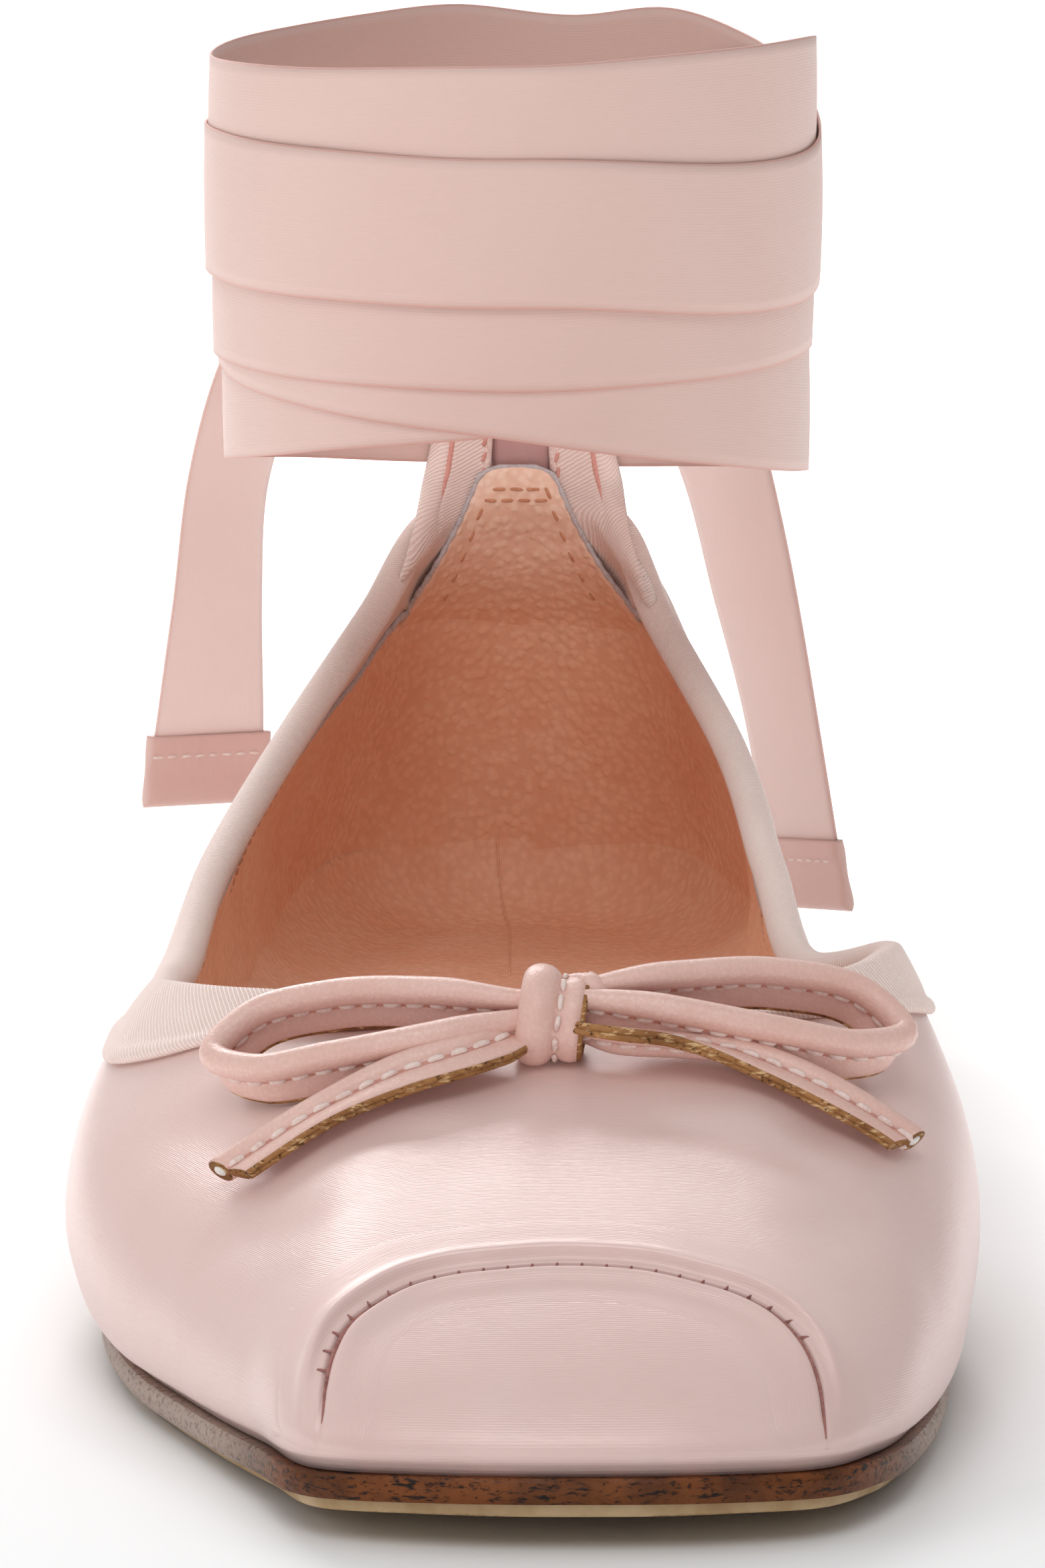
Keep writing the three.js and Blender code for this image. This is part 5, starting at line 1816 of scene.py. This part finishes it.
@dataclass
class Bow(ShoePart):
    """The bow of a piped leather strip: two loops, two tails and a knot, with stitches and raw edges."""

    # x, distance behind the toe and height over the satin of each loop's middle
    loops: tuple = (
        (Side.OUTER, (
            (2.4, 53.4, 3.6), (-1.6, 52.4, 3.2), (-8, 50.8, 2.9), (-16, 51.0, 2.9), (-22.4, 53.7, 3.4),
            (-25.4, 57.9, 4.0), (-22.6, 60.9, 4.0), (-16, 59.9, 3.9), (-8, 56.9, 4.1), (-1.6, 54.8, 4.3),
            (2.0, 54.2, 4.4),
        )),
        (Side.INNER, (
            (3.6, 54.2, 4.8), (7.6, 53.8, 4.5), (14, 53.1, 3.9), (22, 53.0, 3.3), (28.6, 55.2, 3.4),
            (31.8, 60, 3.9), (29, 62.8, 4.1), (22, 61.4, 4.4), (14, 58.2, 4.8), (7.6, 56.0, 5.0),
            (4.2, 55.0, 4.8),
        )),
    )
    # x, distance behind the toe, height over the satin and tilt back from it in degrees
    tails: tuple = (
        (Side.OUTER, (
            (0.6, 53.0, 3.0, -14), (-1.5, 51.4, 2.95, -12), (-4.3, 49.6, 2.9, -10), (-10.8, 47.2, 2.4, -6),
            (-16.9, 45.4, 1.9, 0), (-22.2, 45.0, 1.6, 0), (-25.0, 44.8, 1.6, 0),
        )),
        (Side.INNER, (
            (4.8, 53.7, 2.6, 34), (6.8, 52.3, 2.8, 36), (9.2, 51.5, 2.9, 36), (13.4, 51.6, 2.7, 30),
            (17.6, 51.3, 2.4, 16), (21.6, 50.3, 2.1, 4), (25.8, 49.3, 1.9, 0), (30.0, 48.6, 1.7, 0),
            (33.2, 48.8, 1.6, 0),
        )),
    )
    # name, radius, then steps across, up and forward from the knot's middle: the folds behind it
    lobes: tuple = (
        ("lobe", 1.35, (
            (0.2, 2.2, -1.2), (1.4, 3.0, 0.6), (2.4, 2.9, 1.2), (3.4, 1.9, 0.8), (3.8, 0.4, -0.6),
        )),
        ("fold", 0.85, (
            (2.6, 2.2, -1.2), (4.0, 2.6, 0.0), (4.7, 1.8, 0.5), (4.9, 0.6, 0.1), (4.6, -0.6, -0.9),
        )),
    )
    cord_radius: float = 1.3
    cord_at: float = 1.2
    core_radius: float = 0.58
    stitch_pitch: float = 2.2
    slant: float = 0.6
    knot_x: float = 3.1
    knot_back: float = 54.5
    knot_over: float = 4.0
    knot_tall: float = 3.4
    knot_deep: float = 2.6
    knot_tilt: float = 8.0

    def section(self) -> Array:
        """The strip's section: a cord at its upper edge, a stitched groove and a doubled flange."""
        turn = np.linspace(math.radians(138), math.radians(-138), 13)
        cord = self.cord_radius * np.stack([np.cos(turn), np.sin(turn)], axis=-1) + (self.cord_at, 0.0)
        face = np.array([
            (-2.3, 0.5), (-2.1, 0.6), (-1.5, 0.62), (-0.9, 0.58), (-0.4, 0.48), (-0.1, 0.36), (0.1, 0.36),
        ])
        back = face[::-1] * (1, -1)
        section = np.vstack([face, cord, back])
        return np.vstack([section, section[:1]])

    def raw_section(self) -> Array:
        """The section of the raw edge under the flange."""
        half = [(-2.2, 0.44), (-2.45, 0.5), (-2.6, 0.42), (-2.64, 0.24), (-2.62, 0.1), (-2.45, 0.02)]
        return np.array(half + [(w, -t) for w, t in half[::-1]] + half[:1])

    def frames(self, rows: Array, count: int, standing: bool) -> tuple[Array, Array, Array]:
        """Runs a strip over the vamp.

        Args:
            rows: x, distance behind the toe, height over the satin, and for a tail its tilt back in degrees.
            count: stations.
            standing: whether the strip stands on its edge.

        Returns:
            Its middle, and the directions of its width and thickness.
        """
        along, up = self.last.vamp_at(rows[:, 0], rows[:, 1])
        normal = self.last.normal(along, up)
        path = np.hstack([self.last.wall(along, up) + normal * rows[:, 2:3], normal, rows[:, 3:]])
        columns = SmoothCurve(path, 3).even(count)
        middle = columns[:, :3]
        run = unit(np.gradient(middle, axis=0))
        side = unit(np.cross(columns[:, 3:6], run))
        over = unit(np.cross(run, side))
        if standing:
            return middle, over, side
        rear = side * np.where(run[:, :1] < 0, -1.0, 1.0)
        tilt = np.radians(columns[:, 6:7])
        return middle, rear * np.cos(tilt) - over * np.sin(tilt), over * np.cos(tilt) + rear * np.sin(tilt)

    def strip(self, name: str, node: str, path: tuple[Array, Array, Array], seed: int) -> None:
        """Builds one strip with its raw edge, its stitches, and darker cords painted as the shade in their
        grooves.

        Args:
            name: the piece's name.
            node: the solid that it replaces.
            path: its middle, and the directions of its width and thickness.
            seed: the seed of the stitches' small irregularities.
        """
        middle, wide, thin = path
        share = np.linspace(0, 1, len(middle))
        taper = 1 - 0.3 * (1 - ease(share, 0.0, 0.14))
        if "loop" in node:
            taper = taper - 0.3 * (1 - ease(1 - share, 0.0, 0.14))
        leather = sweep(name, middle, wide, thin, self.section(), taper)
        self.dress(leather, Finish.BOW_LEATHER, "bow_leather", node)
        thick = taper + 0.3 * (node == "bow_tail_inner") * (1 - ease(share, 0.1, 0.5))
        raw = sweep(f"{name}_raw_edge", middle, wide, thin, self.raw_section(), thick)
        self.dress(raw, Finish.RAW_EDGE, "bow_leather")
        # painted shade: darker cords along both stitch lines, standing for the shade in the grooves that the
        # stitches sink into
        for face, sign in (("front", 1.0), ("rear", -1.0)):
            dip = circle(1.0, 9) * (0.34, 0.16) + (0.0, sign * 0.36)
            groove = sweep(f"{name}_groove_{face}", middle, wide, thin, dip, taper)
            self.dress(groove, Finish.GROOVE, "bow_leather")
        at, way, where = spread(middle, self.stitch_pitch, 0.9)
        far = 0.55 * np.interp(where, np.arange(len(taper)), taper)[:, None]
        up = between(thin, where)
        both, ups = np.vstack([at + up * far, at - up * far]), np.vstack([up, -up])
        row = stitches(f"{name}_stitches", both, np.vstack([way, way]), ups, 1.7, 0.64, seed)
        self.dress(row, Finish.THREAD, "bow_leather")

    def build(self) -> None:
        """Builds the loops, the tails and the knot."""
        for k, (side, rows) in enumerate(self.loops):
            path = self.frames(np.array(rows, float), 120, True)
            self.strip(f"bow_loop_strip_{side.value}", f"bow_loop_{side.value}", path, 41 + k)
        for k, (side, rows) in enumerate(self.tails):
            middle, wide, thin = self.frames(np.array(rows, float), 64, False)
            slant = self.slant * ease(np.linspace(0, 1, 64), 0.84, 1.0)[:, None]
            path = middle, wide + unit(np.gradient(middle, axis=0)) * slant, thin
            self.strip(f"bow_tail_strip_{side.value}", f"bow_tail_{side.value}", path, 51 + k)
            self.cut_end(side, *path)
        self.knot()

    def cut_end(self, side: Side, middle: Array, wide: Array, thin: Array) -> None:
        """Shows the cord's core where a tail is cut.

        Args:
            side: which tail it is.
            middle: the tail's path.
            wide: the direction of its width.
            thin: the direction of its thickness.
        """
        run = unit(middle[-1] - middle[-2])
        cord = middle[-1] + wide[-1] * self.cord_at
        for name, start, far, section, size, finish in (
            (
                "cord_core", cord, (-0.6, 0.05, 0.2, 0.26), circle(self.core_radius, 15),
                (1.0, 1.0, 0.8, 0.35), Finish.CORE,
            ),
            ("cut_end", middle[-1], (-0.5, 0.06), self.section() * (0.96, 0.9), (1.0, 1.0), Finish.RAW_EDGE),
        ):
            path = start + run * np.array(far)[:, None]
            ways = same(wide[-1], len(far)), same(thin[-1], len(far))
            end = sweep(f"bow_{name}_{side.value}", path, *ways, section, np.array(size))
            self.dress(end, finish, "bow_leather")

    def knot(self) -> None:
        """Wraps the strip once round the bow's middle, with its second lobe behind."""
        along, up = self.last.vamp_at(np.array([self.knot_x]), np.array([self.knot_back]))
        normal = self.last.normal(along, up)[0]
        centre = self.last.wall(along, up)[0] + normal * self.knot_over - (0.0, 0.0, 0.5)
        level = np.array([1.0, 0.0, 0.0])
        rise = unit(0.75 * np.cross(normal, level) + (0.0, 0.0, 0.7))
        tilt = math.radians(self.knot_tilt)
        wide = unit(level * math.cos(tilt) - rise * math.sin(tilt))
        climb = unit(rise * math.cos(tilt) + level * math.sin(tilt))
        front = np.cross(wide, climb)
        turn = np.linspace(0, 2 * math.pi, 61)[:, None]
        tall, deep = self.knot_tall, self.knot_deep
        path = centre + climb * (tall * np.sin(turn)) + front * (deep * np.cos(turn))
        out = unit(climb * (np.sin(turn) / tall) + front * (np.cos(turn) / deep))
        arc = np.radians(np.linspace(-150, 150, 17))
        cord = np.stack([-1.7 - 1.7 * np.cos(arc), 0.1 + self.cord_radius * np.sin(arc)], axis=-1)
        face = np.array([
            (-0.05, 0.5), (0.2, 0.32), (0.5, 0.4), (1.0, 0.62), (1.7, 0.66), (2.2, 0.5), (2.35, 0.2),
            (2.35, -0.6), (0.2, -0.6),
        ])
        section = np.vstack([cord, face, cord[:1]])
        ways = same(wide, len(path))
        wrap = sweep("bow_knot_wrap", path, ways, out, section, loop=True)
        self.dress(wrap, Finish.BOW_LEATHER, "bow_leather", "bow_knot")
        raw = np.array([(2.2, 0.35), (2.55, 0.36), (2.7, 0.0), (2.6, -0.5), (2.2, -0.5), (2.2, 0.35)])
        edge = sweep("bow_knot_raw_edge", path, ways, out, raw, loop=True)
        self.dress(edge, Finish.RAW_EDGE, "bow_leather")
        at, way, where = spread(path + out * 0.5 + ways * 0.3, 2.0)
        row = stitches("bow_knot_stitches", at, way, between(out, where), 1.5, 0.56, 61)
        self.dress(row, Finish.THREAD, "bow_leather")
        frame_of_knot = np.stack([wide, climb, front])
        for name, radius, shifts in self.lobes:
            line = SmoothCurve(centre + np.array(shifts) @ frame_of_knot, 3).even(24)
            way = unit(np.gradient(line, axis=0))
            over = unit(np.cross(way, wide + 0.4 * front))
            round_ = circle(radius, 17) * (1.0, 0.85)
            lump = sweep(f"bow_knot_{name}", line, unit(np.cross(over, way)), over, round_)
            self.dress(lump, Finish.BOW_LEATHER, "bow_leather")


@dataclass
class Studio:
    """A white floor, soft light from all round, and the camera at the photograph's angle."""

    lens: float = 188.46
    height: float = 0.169
    distance: float = 0.740
    pitch: float = 8.85
    sensor: float = 36.0
    # name, place, target, width and power in watts of each softbox
    softboxes: tuple = (
        ("back_light", (-0.2, 1.15, 0.8), (0.0, 0.05, 0.0), 0.7, 11.0),
        ("front_light", (-0.12, -1.3, 0.22), (0.0, 0.0, 0.05), 0.6, 1.4),
        ("top_light", (-0.1, -0.75, 1.0), (0.0, 0.0, 0.03), 0.6, 3.3),
        ("left_light", (-1.1, -0.35, 0.7), (0.0, 0.0, 0.04), 0.6, 0.9),
    )
    # direction's column, from and to along it, and the light at each: the tent round the set
    tent: tuple = (
        (0, 0.7, -0.3, -0.16, 0.02), (1, 0.0, 0.8, 0.0, 0.22), (2, 0.2, 0.9, 0.0, 0.36),
        (1, 0.0, -0.6, 0.33, 0.24),
    )
    shoe_half_width: float = 0.034
    shoe_middle: float = 0.05
    shoe_half_length: float = 0.125
    floor_glow: float = 0.55

    def build(self) -> None:
        """Sets the camera, the floor, the lights and the colour handling."""
        scene = bpy.context.scene
        deselect()
        bpy.ops.object.camera_add(
            location=(0.0, -self.distance, self.height), rotation=(math.radians(90 - self.pitch), 0.0, 0.0)
        )
        camera = bpy.context.active_object
        camera.name = "camera"
        camera.data.lens = self.lens
        camera.data.sensor_width = self.sensor
        camera.data.clip_start = 0.01
        scene.camera = camera
        self.floor()
        self.sky()
        for row in self.softboxes:
            self.softbox(*row)
        scene.view_settings.view_transform = "Standard"
        scene.view_settings.look = "None"

    def floor(self) -> None:
        """Lays a white floor that glows away from the shoe, so that only its near shadow shows."""
        deselect()
        bpy.ops.mesh.primitive_plane_add(size=14.0, location=(0.0, 0.0, -0.0002))
        floor = bpy.context.active_object
        floor.name = "studio_floor"
        material, tree, shader, coord = start_material(
            "floor_paint", Specular_IOR_Level=0.1, Roughness=0.85, Emission_Color=(1.0, 1.0, 1.0, 1.0),
        )
        shade = tree.blend(tree.noise(coord["Object"], 3.0), linear(250, 250, 250), linear(247, 247, 247))
        tree.feed(shader.inputs["Base Color"], shade)
        x, y, _ = tree.parts(coord["Object"])
        aside = tree.math("SUBTRACT", tree.math("ABSOLUTE", x), self.shoe_half_width)
        ahead = tree.math("ABSOLUTE", tree.math("SUBTRACT", y, self.shoe_middle))
        ahead = tree.math("SUBTRACT", ahead, self.shoe_half_length)
        far = tree.math("MAXIMUM", tree.times(aside, 2.0), ahead)
        tree.feed(shader.inputs["Emission Strength"], tree.fade(far, 0.018, 0.1, 0.0, self.floor_glow))
        floor.data.materials.append(material)

    def sky(self) -> None:
        """Lights the set like a white tent that is open towards the camera."""
        world = bpy.data.worlds.new("studio_light")
        world.use_nodes = True
        tree = Tree(world.node_tree)
        way = tree.parts(tree.node("ShaderNodeTexCoord").outputs["Generated"])
        shade = 0.0
        for column, *span in self.tent:
            shade = tree.plus(shade, tree.fade(way[column], *span))
        back = world.node_tree.nodes["Background"]
        tree.feed(back.inputs["Strength"], shade)
        back.inputs["Color"].default_value = (1.0, 1.0, 1.0, 1.0)
        bpy.context.scene.world = world

    def softbox(self, name: str, place: tuple, target: tuple, size: float, power: float) -> None:
        """Adds one softbox.

        Args:
            name: the light's name.
            place: where it stands.
            target: what it points at.
            size: its width.
            power: its power in watts.
        """
        deselect()
        bpy.ops.object.light_add(type="AREA", location=place)
        light = bpy.context.active_object
        light.name = name
        light.data.size = size
        light.data.energy = power
        gaze = unit(np.array(target) - np.array(place))
        light.rotation_euler = (math.acos(-gaze[2]), 0.0, math.atan2(gaze[1], gaze[0]) - math.pi / 2)


def main() -> None:
    """Sets the studio, then builds and dresses every piece."""
    logging.basicConfig(level=logging.INFO, format="%(message)s")
    last, ankle, wardrobe = Last(), Ankle(), Wardrobe()
    Studio().build()
    seam = ToeSeam(last, wardrobe)
    for part in (
        Sole(last, wardrobe), Upper(last, wardrobe, seam), seam, Collar(last, wardrobe),
        HeelLoop(last, wardrobe, ankle), AnkleRibbon(last, wardrobe, ankle), Bow(last, wardrobe),
    ):
        part.build()
        LOG.info("%s done", type(part).__name__)
    deselect()


if __name__ == "__main__":
    main()
